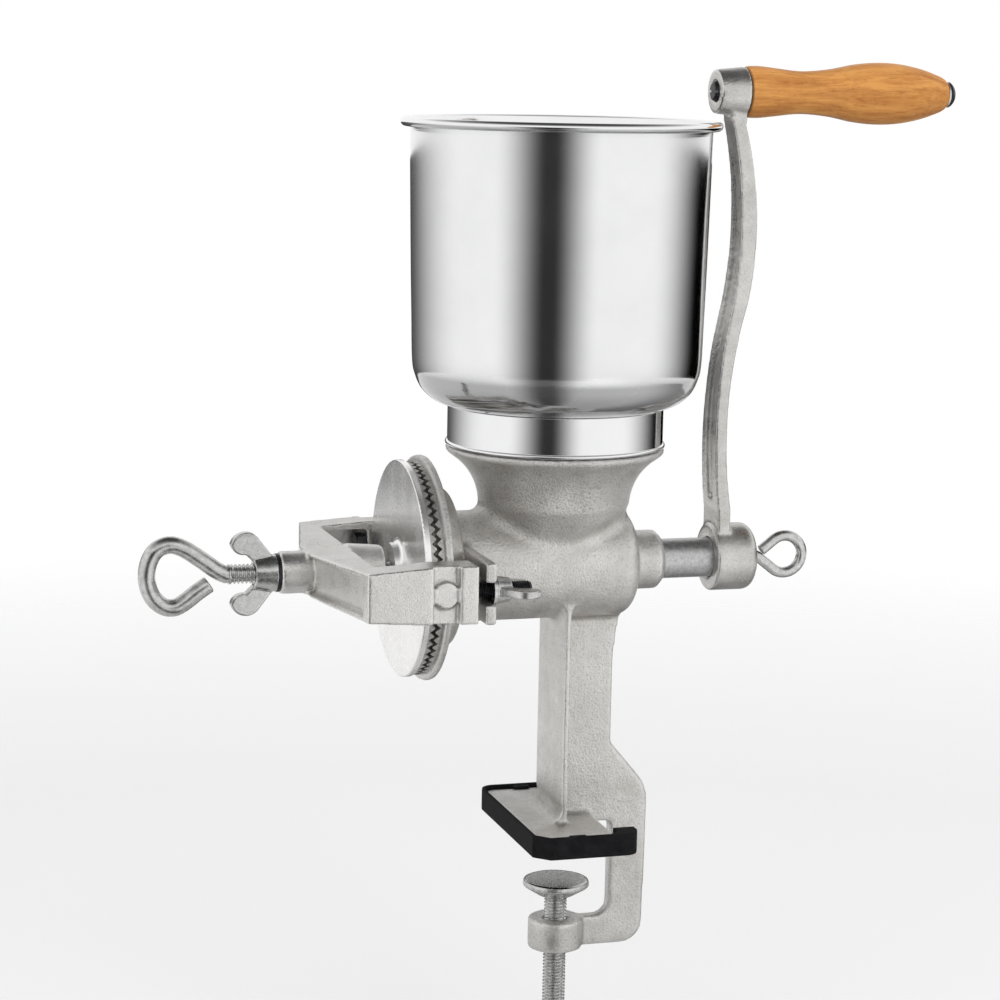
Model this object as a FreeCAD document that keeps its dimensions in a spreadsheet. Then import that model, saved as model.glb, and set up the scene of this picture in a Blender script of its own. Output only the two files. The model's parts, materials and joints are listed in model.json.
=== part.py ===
import FreeCAD, Part

import math
import os
import re

import Sketcher

# Driving dimensions in millimetres, angles in degrees and counts.
# Everything is measured from the point where the shaft axis crosses the hopper axis.
sizes = {
    # Stance: the middle of the foot is the origin of the whole mill
    "shaftHeight": 140,
    "hopperOffset": 6,
    # Fits
    "runningFit": 0.06,
    "seatGap": 0.05,
    # Barrel, flange and shaft boss of the casting
    "barrelRadius": 27.8,
    "barrelEnd": 40,
    "barrelRound": 9,
    "boreRadius": 22.3,
    "boreEnd": 33,
    "flangeFace": 70.6,
    "flangeRadius": 56.2,
    "flangeThickness": 4.1,
    "flangeEdge": 1,
    "stepRadius": 46,
    "stepTaper": 7.5,
    "stepLength": 10,
    "stepFillet": 3,
    "bossRadius": 15,
    "bossLength": 17.4,
    "bossChamfer": 3.6,
    # Feed neck
    "neckFootRadius": 23,
    "neckFootHeight": 12,
    "neckRadius": 38,
    "neckHeight": 31,
    "funnelRadius": 42,
    "funnelHeight": 44.9,
    "funnelTopRadius": 52.6,
    "funnelTopHeight": 55.8,
    "mouthRadius": 54.8,
    "mouthHeight": 60.3,
    "mouthEdge": 2.8,
    "neckWall": 5,
    "throatRadius": 18.5,
    "throatHeight": 10,
    "neckFillet": 6,
    "seatRadius": 49.8,
    "seatDepth": 3.3,
    "seatLedge": 3,
    "spigotClearance": 0.15,
    "spigotDepth": 3.1,
    # Hopper
    "collarRadius": 54,
    "collarWall": 1,
    "collarTop": 80.5,
    "beadRadius": 1.1,
    "bowlWall": 0.8,
    "bowlNeckDepth": 11,
    "bowlFootRadius": 56,
    "bowlFootGap": 0.3,
    "bowlCurveRadius": 67.5,
    "bowlCurveHeight": 88.5,
    "bowlShoulderRadius": 72.1,
    "bowlShoulderHeight": 102.5,
    "bowlRimRadius": 74.7,
    "bowlRimHeight": 222.5,
    "lipRadius": 79.5,
    "lipHeight": 5.2,
    # Fork ears
    "earThickness": 5.5,
    "earReach": 74.5,
    "earHeight": 30,
    "slotClearance": 0.3,
    # Leg, foot and clamp
    "legFace": 1,
    "legFlangeThickness": 3.2,
    "legWidth": 44,
    "legRound": 4,
    "webRound": 3,
    "footFlare": 6,
    "footFlareHeight": 10,
    "webThickness": 7,
    "webReach": 33,
    "webFlare": 24,
    "webTopReach": 39.4,
    "spineReach": 53.5,
    "spineShoulder": 16.5,
    "spineSlope": 36,
    "spineInner": 33.5,
    "plateLeftReach": 25.4,
    "plateRightReach": 16,
    "plateWidth": 100.6,
    "plateThickness": 5.5,
    "plateCorner": 6,
    "legFootFillet": 3,
    "clampOpening": 46,
    "jawHeight": 16,
    "jawCorner": 12,
    "jawFillet": 7,
    "jawBossRadius": 14,
    # Rubber tray under the foot
    "padSole": 4,
    "padRim": 1.8,
    "padRimHeight": 7.5,
    "padTab": 4,
    "padTabLength": 9,
    "padTabThickness": 1.4,
    "padReach": 27.2,
    "padNotch": 80,
    # Burrs and their carrier
    "burrThickness": 3.2,
    "burrRadius": 53.2,
    "burrGap": 0.5,
    "toothDepth": 2.3,
    "toothWidth": 4.3,
    "toothCount": 67,
    "toothInner": 46.5,
    "furrowDepth": 2.1,
    "furrowWidth": 4.4,
    "furrowCount": 21,
    "burrScrewCircle": 31,
    "burrScrewRadius": 2,
    "burrScrewHead": 4,
    "burrScrewHeadHeight": 1.8,
    "burrScrewLength": 5.2,
    "burrScrewSpare": 0.3,
    "discRadius": 54,
    "discThickness": 3,
    "discEdge": 0.8,
    "hubRadius": 13,
    "hubHeight": 4.5,
    "hubFillet": 4,
    "innerHubRadius": 14,
    "innerHubHeight": 10.5,
    # Shaft and feed worm
    "shaftRadius": 10.1,
    "shaftEnd": 97,
    "drivePinRadius": 2.5,
    "drivePinLength": 27,
    "stubRadius": 8,
    "wormCore": 11,
    "wormRadius": 21.5,
    "wormPitch": 26,
    "wormThickness": 5,
    "wormStart": 60,
    "wormLength": 84,
    "wormEnd": 31,
    # Thrust ball
    "ballRadius": 4,
    "ballSink": 2,
    # Yoke
    "barInner": 107,
    "barOuter": 128,
    "barEnd": 114,
    "barFlat": 12,
    "armReach": 74.5,
    "armHeight": 28,
    "barHeight": 21.5,
    "armWall": 3,
    "armInner": 57,
    "armBlockEnd": 82,
    "neckReach": 70.5,
    "armPlateFront": 69,
    "armPlateBack": 60,
    "domeRadius": 6.4,
    "domeRise": 2.3,
    "yokeBossEdge": 0.8,
    "yokeBossTaper": 1.5,
    "panelDepth": 3.6,
    "panelHeight": 18,
    "armMargin": 6.5,
    "yokeBossRadius": 10.5,
    "yokeBossEnd": 141,
    "innerBossRadius": 13.5,
    "innerBossEnd": 89.2,
    # Bolts of the yoke
    "boltReach": 62.5,
    "boltRadius": 4,
    "slotWidth": 10.6,
    "boltHeadWidth": 13,
    "boltHeadHeight": 5.3,
    "boltTip": 31,
    "boltWasherRadius": 8,
    "boltWasherThickness": 1.5,
    # Wing nuts
    "lockNutRadius": 9.3,
    "lockNutTopRadius": 7.6,
    "lockNutHeight": 11,
    "lockWingReach": 20.4,
    "lockWingHeight": 22.6,
    "lockWingLobe": 5.6,
    "lockWingThickness": 5.4,
    "yokeNutRadius": 7,
    "yokeNutTopRadius": 5.8,
    "yokeNutHeight": 8,
    "yokeWingReach": 17,
    "yokeWingHeight": 20,
    "yokeWingLobe": 4.6,
    "yokeWingThickness": 3.8,
    # Eyes of the screws: half the angle between their strands, gap at the tail, plain neck
    "eyeAngle": 38,
    "eyeTail": 0.8,
    "eyeNeck": 2.5,
    # Adjusting screw
    "adjustRadius": 5,
    "adjustRod": 4.25,
    "adjustLoop": 15.6,
    "adjustBend": 8,
    "adjustLoopReach": 190.6,
    "lockWasherRadius": 9.5,
    "lockWasherThickness": 1.3,
    # Crank arm
    "crankThrow": 236.5,
    "lowerHubStart": 83.3,
    "lowerHubEnd": 106.2,
    "lowerHubRadius": 17.2,
    "lowerHubRound": 5,
    "lowerHubEdge": 1.5,
    "upperHubStart": 80.2,
    "upperHubEnd": 95.7,
    "upperHubRadius": 12.5,
    "upperHubTaper": 1.5,
    "armFoot": 84.8,
    "armDip": 82.6,
    "armCrest": 93.5,
    "armTop": 87.5,
    "armFootThickness": 7,
    "armDipThickness": 6.2,
    "armCrestThickness": 8.6,
    "armMiddleThickness": 8.2,
    "armTopThickness": 7.5,
    "armFootWidth": 22,
    "armTopWidth": 13,
    "armGroove": 1.2,
    "armGrooveShare": 0.5,
    "armBow": 2,
    # Eye screw in the end of the shaft
    "crankScrewRadius": 3,
    "crankScrewRod": 2.75,
    "crankScrewLoop": 9.7,
    "crankScrewBend": 5,
    "crankScrewReach": 126.2,
    "crankScrewDepth": 16,
    # Grip and its bolt
    "gripStart": 96.3,
    "gripEnd": 205.5,
    "gripBaseRadius": 12.9,
    "gripWaistRadius": 10.7,
    "gripBellyRadius": 15.6,
    "gripTipRadius": 7.3,
    "gripWaistReach": 127,
    "gripBellyReach": 168,
    "gripEdge": 0.8,
    "gripEndRound": 3,
    "handleBoltRadius": 3,
    "handleBoltHead": 4.9,
    "handleBoltHeadHeight": 3,
    "handleBoltRound": 1.4,
    "handleBoltRoom": 0.4,
    "handleBoltSink": 1.6,
    "handleBoltSlot": 1.2,
    "handleWasherThickness": 1,
    "handleNutRadius": 6.5,
    "handleNutHeight": 4,
    "handleNutEdge": 1,
    "handlePlay": 0.3,
    # Clamp screw and its swivel cup
    "clampScrewRadius": 6,
    "clampScrewRod": 4.25,
    "clampScrewLoop": 14,
    "clampScrewBend": 8,
    "clampCupRadius": 17,
    "clampCupHeight": 8,
    "clampCupEdge": 1,
    "clampCupRim": 3,
    "clampCupWall": 4,
    "clampWorkpiece": 26,
    "clampTipRadius": 5,
    "clampTipLength": 5,
    "clampScrewLength": 62,
}

os.makedirs("parts", exist_ok=True)
doc = FreeCAD.newDocument("hand_grain_mill")
sheet = doc.addObject("Spreadsheet::Sheet", "Sizes")
for row, (alias, size) in enumerate(sizes.items(), start=1):
    sheet.set(f"A{row}", alias)
    sheet.set(f"B{row}", str(size))
    sheet.setAlias(f"B{row}", alias)
doc.recompute()

nodes = {}

turnToX = FreeCAD.Rotation(FreeCAD.Vector(0, 1, 0), 90)
turnToY = FreeCAD.Rotation(FreeCAD.Vector(1, 0, 0), -90)
upright = FreeCAD.Rotation()
turns = {"X": turnToX, "Y": turnToY, "Z": upright}


# An expression with each named size read from the sheet
def linked(text):
    def fromSheet(word):
        return "Sizes." + word.group() if word.group() in sizes else word.group()

    return re.sub(r"[A-Za-z]\w*", fromSheet, str(text))


def bind(feature, **expressions):
    for name, text in expressions.items():
        feature.setExpression(name, linked(text))


def place(feature, x="0", y="0", z="0", turn=upright):
    feature.Placement = FreeCAD.Placement(FreeCAD.Vector(), turn)
    for axis, text in zip("xyz", (x, y, z)):
        feature.setExpression(f"Placement.Base.{axis}", linked(text))


def newBody(name):
    return doc.addObject("PartDesign::Body", name)


# A finished piece takes its place on the mill and its name
def keep(piece, label, x="0", y="0", z="0", turn=upright):
    piece.Label = label
    place(piece, f"-hopperOffset + ({x})", y, f"shaftHeight + ({z})", turn)
    nodes[label] = piece
    return piece


def originFeature(body, role):
    return [item for item in body.Origin.OriginFeatures if item.Role == role][0]


def angleOf(centre, point):
    return math.atan2(point.y - centre.y, point.x - centre.x)


def newSketch(body, plane, lift):
    sketch = body.newObject("Sketcher::SketchObject", body.Name + "_sketch")
    sketch.AttachmentSupport = [(originFeature(body, plane), "")]
    sketch.MapMode = "FlatFace"
    sketch.setExpression("AttachmentOffset.Base.z", linked(lift))
    return sketch


def valueOf(sketch, text):
    return float(sketch.evalExpression(linked(text)))


# A size of a sketch that follows the sheet
def tie(sketch, text, *constraint):
    index = sketch.addConstraint(Sketcher.Constraint(*constraint, valueOf(sketch, text)))
    sketch.setExpression(f"Constraints[{index}]", linked(text))


def pin(sketch, geometry, end, x, y):
    for kind, text, axis in (("DistanceX", x, -2), ("DistanceY", y, -1)):
        if text == "0":
            sketch.addConstraint(Sketcher.Constraint("PointOnObject", geometry, end, axis))
        else:
            tie(sketch, text, kind, -1, 1, geometry, end)


# A sketch from a list of steps: (x, y) is straight, (x, y, radius, side) is an arc with its centre
# on that side of the way, and (x, y, viaX, viaY) is an arc through a middle point
def outline(body, plane, steps, lift="0", closed=True):
    sketch = newSketch(body, plane, lift)

    def point(x, y):
        return FreeCAD.Vector(valueOf(sketch, x), valueOf(sketch, y), 0)

    points = [point(step[0], step[1]) for step in steps]
    joints = []
    for i in range(len(steps) if closed else len(steps) - 1):
        start = points[i]
        step = steps[(i + 1) % len(steps)]
        end = points[(i + 1) % len(steps)]
        if len(step) == 2:
            joints.append((sketch.addGeometry(Part.LineSegment(start, end)), 1, 2))
            continue
        byRadius = step[3] in ("left", "right")
        if byRadius:
            radius = valueOf(sketch, step[2])
            chord = end - start
            across = FreeCAD.Vector(-chord.y, chord.x, 0).normalize()
            if step[3] == "right":
                across = across * -1
            rise = math.sqrt(max(radius ** 2 - (chord.Length / 2) ** 2, 0))
            via = (start + end) * 0.5 - across * (radius - rise)
        else:
            via = point(step[2], step[3])
        bow = Part.ArcOfCircle(start, via, end)
        leftward = (via - start).cross(end - via).z > 0
        first, last = (start, end) if leftward else (end, start)
        circle = Part.Circle(bow.Center, FreeCAD.Vector(0, 0, 1), bow.Radius)
        firstAngle, lastAngle = angleOf(bow.Center, first), angleOf(bow.Center, last)
        index = sketch.addGeometry(Part.ArcOfCircle(circle, firstAngle, lastAngle))
        joints.append((index, 1, 2) if leftward else (index, 2, 1))
        if byRadius:
            tie(sketch, step[2], "Radius", index)
        else:
            mark = sketch.addGeometry(Part.Point(via), True)
            pin(sketch, mark, 1, step[2], step[3])
            sketch.addConstraint(Sketcher.Constraint("PointOnObject", mark, 1, index))
    for i, (geometry, start, end) in enumerate(joints):
        pin(sketch, geometry, start, steps[i][0], steps[i][1])
        if closed or i + 1 < len(joints):
            following = joints[(i + 1) % len(joints)]
            sketch.addConstraint(Sketcher.Constraint("Coincident", geometry, end, following[0], following[1]))
    if not closed:
        pin(sketch, joints[-1][0], joints[-1][2], steps[-1][0], steps[-1][1])
    return sketch


def disk(body, plane, radius, lift):
    sketch = newSketch(body, plane, lift)
    ring = Part.Circle(FreeCAD.Vector(), FreeCAD.Vector(0, 0, 1), valueOf(sketch, radius))
    circle = sketch.addGeometry(ring)
    pin(sketch, circle, 3, "0", "0")
    tie(sketch, radius, "Radius", circle)
    return sketch


def add(body, kind):
    feature = body.newObject("PartDesign::" + kind, body.Name + "_" + kind)
    body.Tip = feature
    return feature


# A turned shape about the shaft line ("H_Axis") or the upright line ("V_Axis") of a plane
def turned(body, steps, axis="H_Axis", kind="Revolution", plane="XZ_Plane"):
    sketch = outline(body, plane, steps)
    feature = add(body, kind)
    feature.Profile = sketch
    feature.ReferenceAxis = (sketch, [axis])
    feature.Angle = 360
    return feature


# An outline raised, or cut, half to each side of its plane
def slab(body, plane, steps, thickness, kind="Pad"):
    sketch = outline(body, plane, steps)
    feature = add(body, kind)
    feature.Profile = sketch
    feature.SideType = "Symmetric"
    bind(feature, Length=thickness)
    return feature


# An outline raised from its plane, or cut down below it
def pad(body, plane, steps, thickness, lift, kind="Pad"):
    sketch = outline(body, plane, steps, lift)
    feature = add(body, kind)
    feature.Profile = sketch
    bind(feature, Length=thickness)
    return feature


# A box by its middle and its three sides
def block(body, middle, sides, kind="AdditiveBox"):
    feature = add(body, kind)
    bind(feature, Length=sides[0], Width=sides[1], Height=sides[2])
    corner = [f"({m}) - ({s}) / 2" for m, s in zip(middle, sides)]
    place(feature, *corner)
    return feature


# A cylinder from a point along an axis
def rod(body, axis, radius, start, length, kind="AdditiveCylinder"):
    feature = add(body, kind)
    bind(feature, Radius=radius, Height=length)
    place(feature, *start, turn=turns[axis])
    return feature


# Copies of features evenly round the X axis
def ringOf(body, features, count):
    pattern = add(body, "PolarPattern")
    pattern.Originals = features
    pattern.Axis = (originFeature(body, "X_Axis"), [""])
    pattern.Angle = 360
    bind(pattern, Occurrences=count)
    body.Tip = pattern
    return pattern


# Rounds the edges whose middle points pass a test
def rounded(body, radius, picked):
    doc.recompute()
    base = body.Tip
    edges = []
    for i, edge in enumerate(base.Shape.Edges, start=1):
        if picked(edge.valueAt((edge.FirstParameter + edge.LastParameter) / 2)):
            edges.append(f"Edge{i}")
    feature = add(body, "Fillet")
    feature.Base = (base, edges)
    bind(feature, Radius=radius)


# Places that several pieces share, from the crossing of the shaft and hopper axes
padUnder = "(-shaftHeight)"
plateUnder = "(-shaftHeight + padSole)"
plateTop = "(-shaftHeight + padSole + plateThickness)"
plateLeft = "(hopperOffset - plateLeftReach)"
plateRight = "(hopperOffset + plateRightReach)"
padEnd = "(hopperOffset + padReach)"
jawTop = "(-shaftHeight - clampOpening)"
jawUnder = "(-shaftHeight - clampOpening - jawHeight)"
earFront = "(-flangeFace + flangeThickness + stepLength)"
earBack = "(-flangeFace + flangeThickness + stepLength + earThickness)"
bossEnd = "(barrelEnd + bossLength)"
fixedFace = "(-flangeFace - burrThickness)"
movingFace = "(-flangeFace - burrThickness - burrGap)"
discFront = "(-flangeFace - 2 * burrThickness - burrGap)"
discBack = "(-flangeFace - 2 * burrThickness - burrGap - discThickness)"
hubFace = f"({discBack} - hubHeight)"
innerHubFace = f"({discFront} + innerHubHeight)"
ballCentre = f"({hubFace} + ballSink)"
screwTip = f"({ballCentre} - ballRadius - seatGap)"
collarFoot = "(mouthHeight + seatGap)"
cupTop = "(-shaftHeight - clampWorkpiece)"
cupUnder = f"({cupTop} - clampCupHeight)"
pinPlace = f"({innerHubFace} - innerHubHeight / 2)"
handleWasherFace = "(gripEnd + handlePlay)"
handleNutFace = f"({handleWasherFace} + handleWasherThickness + seatGap)"


def makeMillBody():
    body = newBody("millBody")
    turned(body, [
        ("-flangeFace", "0"),
        ("-flangeFace", "flangeRadius - flangeEdge"),
        ("-flangeFace + flangeEdge", "flangeRadius"),
        ("-flangeFace + flangeThickness", "flangeRadius"),
        ("-flangeFace + flangeThickness", "stepRadius"),
        (earFront, "stepRadius - stepTaper"),
        (earFront, "barrelRadius"),
        ("barrelEnd - barrelRound", "barrelRadius"),
        ("barrelEnd", "barrelRadius - barrelRound", "barrelRound", "right"),
        ("barrelEnd", "bossRadius"),
        (f"{bossEnd} - bossChamfer", "bossRadius"),
        (bossEnd, "bossRadius - bossChamfer"),
        (bossEnd, "0"),
    ])
    turned(body, [
        ("0", "neckFootHeight"),
        ("neckFootRadius", "neckFootHeight"),
        ("neckRadius", "neckHeight"),
        ("funnelTopRadius", "funnelTopHeight", "funnelRadius", "funnelHeight"),
        ("mouthRadius", "mouthHeight - mouthEdge"),
        ("mouthRadius", "mouthHeight"),
        ("0", "mouthHeight"),
    ], "V_Axis", plane="YZ_Plane")
    makeLeg(body)
    earMiddle = f"({earFront} + {earBack}) / 2"
    block(body, (earMiddle, "0", "0"), ("earThickness", "2 * earReach", "earHeight"))
    for side in ("", "-"):
        rod(body, "X", "slotWidth / 2", (f"{earFront} - 1", f"{side}boltReach", "0"),
            "earThickness + 2", "SubtractiveCylinder")
        block(body, (earMiddle, f"{side}(boltReach + earReach + 1) / 2", "0"),
              ("earThickness + 2", "earReach + 1 - boltReach", "slotWidth"), "SubtractiveBox")
    # Feed passage: funnel and seat of the hopper, auger bore, shaft bore, thread of the clamp screw
    turned(body, [
        ("0", "throatHeight"),
        ("throatRadius", "throatHeight"),
        ("neckRadius - neckWall", "neckHeight"),
        ("seatRadius - seatLedge", "mouthHeight - seatDepth", "funnelRadius - neckWall", "funnelHeight"),
        ("seatRadius", "mouthHeight - seatDepth"),
        ("seatRadius", "mouthHeight + 1"),
        ("0", "mouthHeight + 1"),
    ], "V_Axis", "Groove")
    rod(body, "X", "boreRadius", ("-flangeFace - 1", "0", "0"),
        "flangeFace + 1 + boreEnd", "SubtractiveCylinder")
    rod(body, "X", "shaftRadius + runningFit", ("boreEnd - 1", "0", "0"),
        f"{bossEnd} - boreEnd + 2", "SubtractiveCylinder")
    rod(body, "Z", "clampScrewRadius + runningFit", ("hopperOffset", "0", f"{jawUnder} - 1"),
        "jawHeight + 2", "SubtractiveCylinder")
    burrScrewHoles(body, "-flangeFace - 1")
    roundMillBody(body)
    return body


def makeLeg(body):
    # Leg flange, flared into the foot
    slab(body, "XZ_Plane", [
        ("legFace", f"{plateTop} + footFlareHeight",
         "legFace - footFlare / 4", f"{plateTop} + footFlareHeight / 4"),
        ("legFace", "-barrelRadius / 2"),
        ("legFace + legFlangeThickness", "-barrelRadius / 2"),
        ("legFace + legFlangeThickness", plateUnder),
        ("legFace - footFlare", plateUnder),
        ("legFace - footFlare", plateTop),
    ], "legWidth")
    # Web, which runs on as the spine and the lower jaw of the clamp
    slab(body, "XZ_Plane", [
        ("legFace + 1", "-barrelRadius / 2"),
        ("webTopReach", "-barrelRadius / 2"),
        ("webReach", "-barrelRadius - webFlare",
         "(webReach + webTopReach) / 2 - 1", "-barrelRadius - webFlare / 6"),
        ("webReach", f"{plateTop} + spineSlope"),
        ("spineReach - 4", f"{plateTop} + spineShoulder"),
        ("spineReach", f"{plateTop} + 3", "spineReach - 1", f"{plateTop} + 10.5"),
        ("spineReach - 1", f"{jawUnder} + jawCorner"),
        ("spineReach - 1 - jawCorner", jawUnder, "jawCorner", "right"),
        ("hopperOffset", jawUnder),
        ("hopperOffset", jawTop),
        ("spineInner - jawFillet", jawTop),
        ("spineInner", f"{jawTop} + jawFillet", "jawFillet", "left"),
        ("spineInner", plateUnder),
        ("legFace + 1", plateUnder),
    ], "webThickness")
    pad(body, "XY_Plane", roundedPlate("0", "plateCorner", plateRight), "plateThickness", plateUnder)
    rod(body, "Z", "jawBossRadius", ("hopperOffset", "0", jawUnder), "jawHeight")


# Outline of the foot plate, or of what stands a margin outside it, as far as this right end
def roundedPlate(margin, corner, right):
    left = f"({plateLeft} - {margin})"
    side = f"(plateWidth / 2 + {margin})"
    return [
        (f"{left} + {corner}", f"-{side}"),
        (f"{right} - {corner}", f"-{side}"),
        (right, f"-{side} + {corner}", corner, "left"),
        (right, f"{side} - {corner}"),
        (f"{right} - {corner}", side, corner, "left"),
        (f"{left} + {corner}", side),
        (left, f"{side} - {corner}", corner, "left"),
        (left, f"-{side} + {corner}"),
    ]


# Cast corners: round the neck, at the leg and its web, and behind the flange
def roundMillBody(body):
    near = 0.1
    barrel = valueOf(sheet, "barrelRadius")
    legFront = valueOf(sheet, "legFace")
    legBack = valueOf(sheet, "legFace + legFlangeThickness")
    plate = valueOf(sheet, plateTop)
    stepEnd = valueOf(sheet, earFront)
    creaseHeight = valueOf(sheet, "neckFootHeight")
    creaseReach = valueOf(sheet, "neckFootRadius")
    halfWeb = valueOf(sheet, "webThickness / 2")

    def onBarrel(spot):
        return abs(math.hypot(spot.y, spot.z) - barrel) < near

    rounded(body, "neckFillet", lambda spot: abs(spot.z - creaseHeight) < 5 and abs(spot.x) < creaseReach / 2
            and abs(spot.y) > creaseReach - 5)
    rounded(body, "legRound", lambda spot: onBarrel(spot) and spot.z < 0
            and legFront - near < spot.x < legBack + near)
    rounded(body, "webRound", lambda spot: abs(spot.x - legBack) < near and abs(abs(spot.y) - halfWeb) < near
            and plate < spot.z < -barrel)
    rounded(body, "legFootFillet", lambda spot: abs(spot.x - legBack) < near and abs(spot.z - plate) < near)
    rounded(body, "stepFillet", lambda spot: abs(spot.x - stepEnd) < near and onBarrel(spot))


# Three tapped holes for the screws of a burr, from this place towards +X
def burrScrewHoles(body, start, side="-"):
    hole = rod(body, "X", "burrScrewRadius + runningFit", (start, "0", f"{side}burrScrewCircle"),
               "burrScrewLength - burrThickness + burrScrewSpare + 1", "SubtractiveCylinder")
    ringOf(body, [hole], "3")


# A grinding plate with its toothed face at X 0 and its back towards +X. Its teeth are odd in number,
# so a plate that is turned over puts its teeth before the gaps of the other
def makeBurr(name, bore):
    body = newBody(name)
    rod(body, "X", "burrRadius", ("0", "0", "0"), "burrThickness")
    rod(body, "X", bore, ("-1", "0", "0"), "burrThickness + 2", "SubtractiveCylinder")
    cone = add(body, "SubtractiveCone")
    bind(cone, Radius1="burrScrewHead + runningFit", Radius2="burrScrewRadius + runningFit",
         Height="burrScrewHeadHeight")
    place(cone, "0", "0", "-burrScrewCircle", turnToX)
    ringOf(body, [cone], "3")
    hole = rod(body, "X", "burrScrewRadius + runningFit", ("-1", "0", "-burrScrewCircle"),
               "burrThickness + 2", "SubtractiveCylinder")
    ringOf(body, [hole], "3")
    for width, depth, start, end, count in (
            ("toothWidth", "toothDepth", "toothInner", "burrRadius + 1", "toothCount"),
            ("furrowWidth", "furrowDepth", "boreRadius - 6", "toothInner", "furrowCount")):
        groove = add(body, "Pocket")
        groove.Profile = outline(body, "XY_Plane", [
            ("-1", f"-{width} / 2"),
            ("0", f"-{width} / 2"),
            (depth, "0"),
            ("0", f"{width} / 2"),
            ("-1", f"{width} / 2"),
        ], end)
        bind(groove, Length=f"{end} - ({start})")
        ringOf(body, [groove], count)
    return body


def makeBurrScrews(name):
    body = newBody(name)
    head = add(body, "AdditiveCone")
    bind(head, Radius1="burrScrewHead", Radius2="burrScrewRadius", Height="burrScrewHeadHeight")
    place(head, "0", "0", "-burrScrewCircle", turnToX)
    shank = rod(body, "X", "burrScrewRadius", ("0", "0", "-burrScrewCircle"), "burrScrewLength")
    ringOf(body, [head, shank], "3")
    return body


# Carrier of the rotating burr, with the thrust hub outside and the driving hub inside
def makeRotorDisc():
    body = newBody("rotorDisc")
    turned(body, [
        (hubFace, "0"),
        (hubFace, "hubRadius"),
        (f"{discBack} - hubFillet / 2", "hubRadius"),
        (discBack, "hubRadius + hubFillet", f"{discBack} - hubFillet / 7", "hubRadius + hubFillet / 4"),
        (discBack, "discRadius - discEdge"),
        (f"{discBack} + discEdge", "discRadius", "discEdge", "right"),
        (discFront, "discRadius"),
        (discFront, "innerHubRadius"),
        (innerHubFace, "innerHubRadius"),
        (innerHubFace, "0"),
    ])
    rod(body, "X", "stubRadius + runningFit", (f"{ballCentre} + ballRadius + seatGap", "0", "0"),
        f"{innerHubFace} - {ballCentre} - ballRadius + 1", "SubtractiveCylinder")
    rod(body, "X", "ballRadius + runningFit", (f"{hubFace} - 1", "0", "0"),
        "ballSink + ballRadius + 2", "SubtractiveCylinder")
    rod(body, "Y", "drivePinRadius + runningFit", (pinPlace, "-innerHubRadius - 1", "0"),
        "2 * innerHubRadius + 2", "SubtractiveCylinder")
    burrScrewHoles(body, f"{discFront} - burrScrewLength + burrThickness - burrScrewSpare", "")
    return body


# Shaft and feed worm along local Z
def makeAuger():
    body = newBody("auger")
    turned(body, [
        ("0", f"{ballCentre} + ballRadius + 2 * seatGap"),
        ("stubRadius", f"{ballCentre} + ballRadius + 2 * seatGap"),
        ("stubRadius", f"{innerHubFace} + seatGap"),
        ("wormCore", f"{innerHubFace} + seatGap"),
        ("wormCore", "wormEnd"),
        ("shaftRadius", "wormEnd"),
        ("shaftRadius", "shaftEnd"),
        ("0", "shaftEnd"),
    ], "V_Axis")
    flight = add(body, "AdditiveHelix")
    flight.Profile = outline(body, "XZ_Plane", [
        ("wormCore - 1.5", "-wormStart - wormThickness / 2"),
        ("wormRadius", "-wormStart - wormThickness / 4"),
        ("wormRadius", "-wormStart + wormThickness / 4"),
        ("wormCore - 1.5", "-wormStart + wormThickness / 2"),
    ])
    flight.ReferenceAxis = (flight.Profile[0], ["V_Axis"])
    flight.Mode = "pitch-height-angle"
    bind(flight, Pitch="wormPitch", Height="wormLength")
    body.Tip = flight
    rod(body, "Y", "drivePinRadius + runningFit", ("0", "-stubRadius - 1", pinPlace),
        "2 * stubRadius + 2", "SubtractiveCylinder")
    rod(body, "Z", "crankScrewRadius + runningFit", ("0", "0", "shaftEnd - crankScrewDepth - 1"),
        "crankScrewDepth + 2", "SubtractiveCylinder")
    return body


def makePin(name, radius, length):
    body = newBody(name)
    rod(body, "Z", radius, ("0", "0", f"-({length}) / 2"), length)
    return body


def makeBall():
    body = newBody("thrustBall")
    ball = add(body, "AdditiveSphere")
    bind(ball, Radius="ballRadius")
    return body


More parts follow.
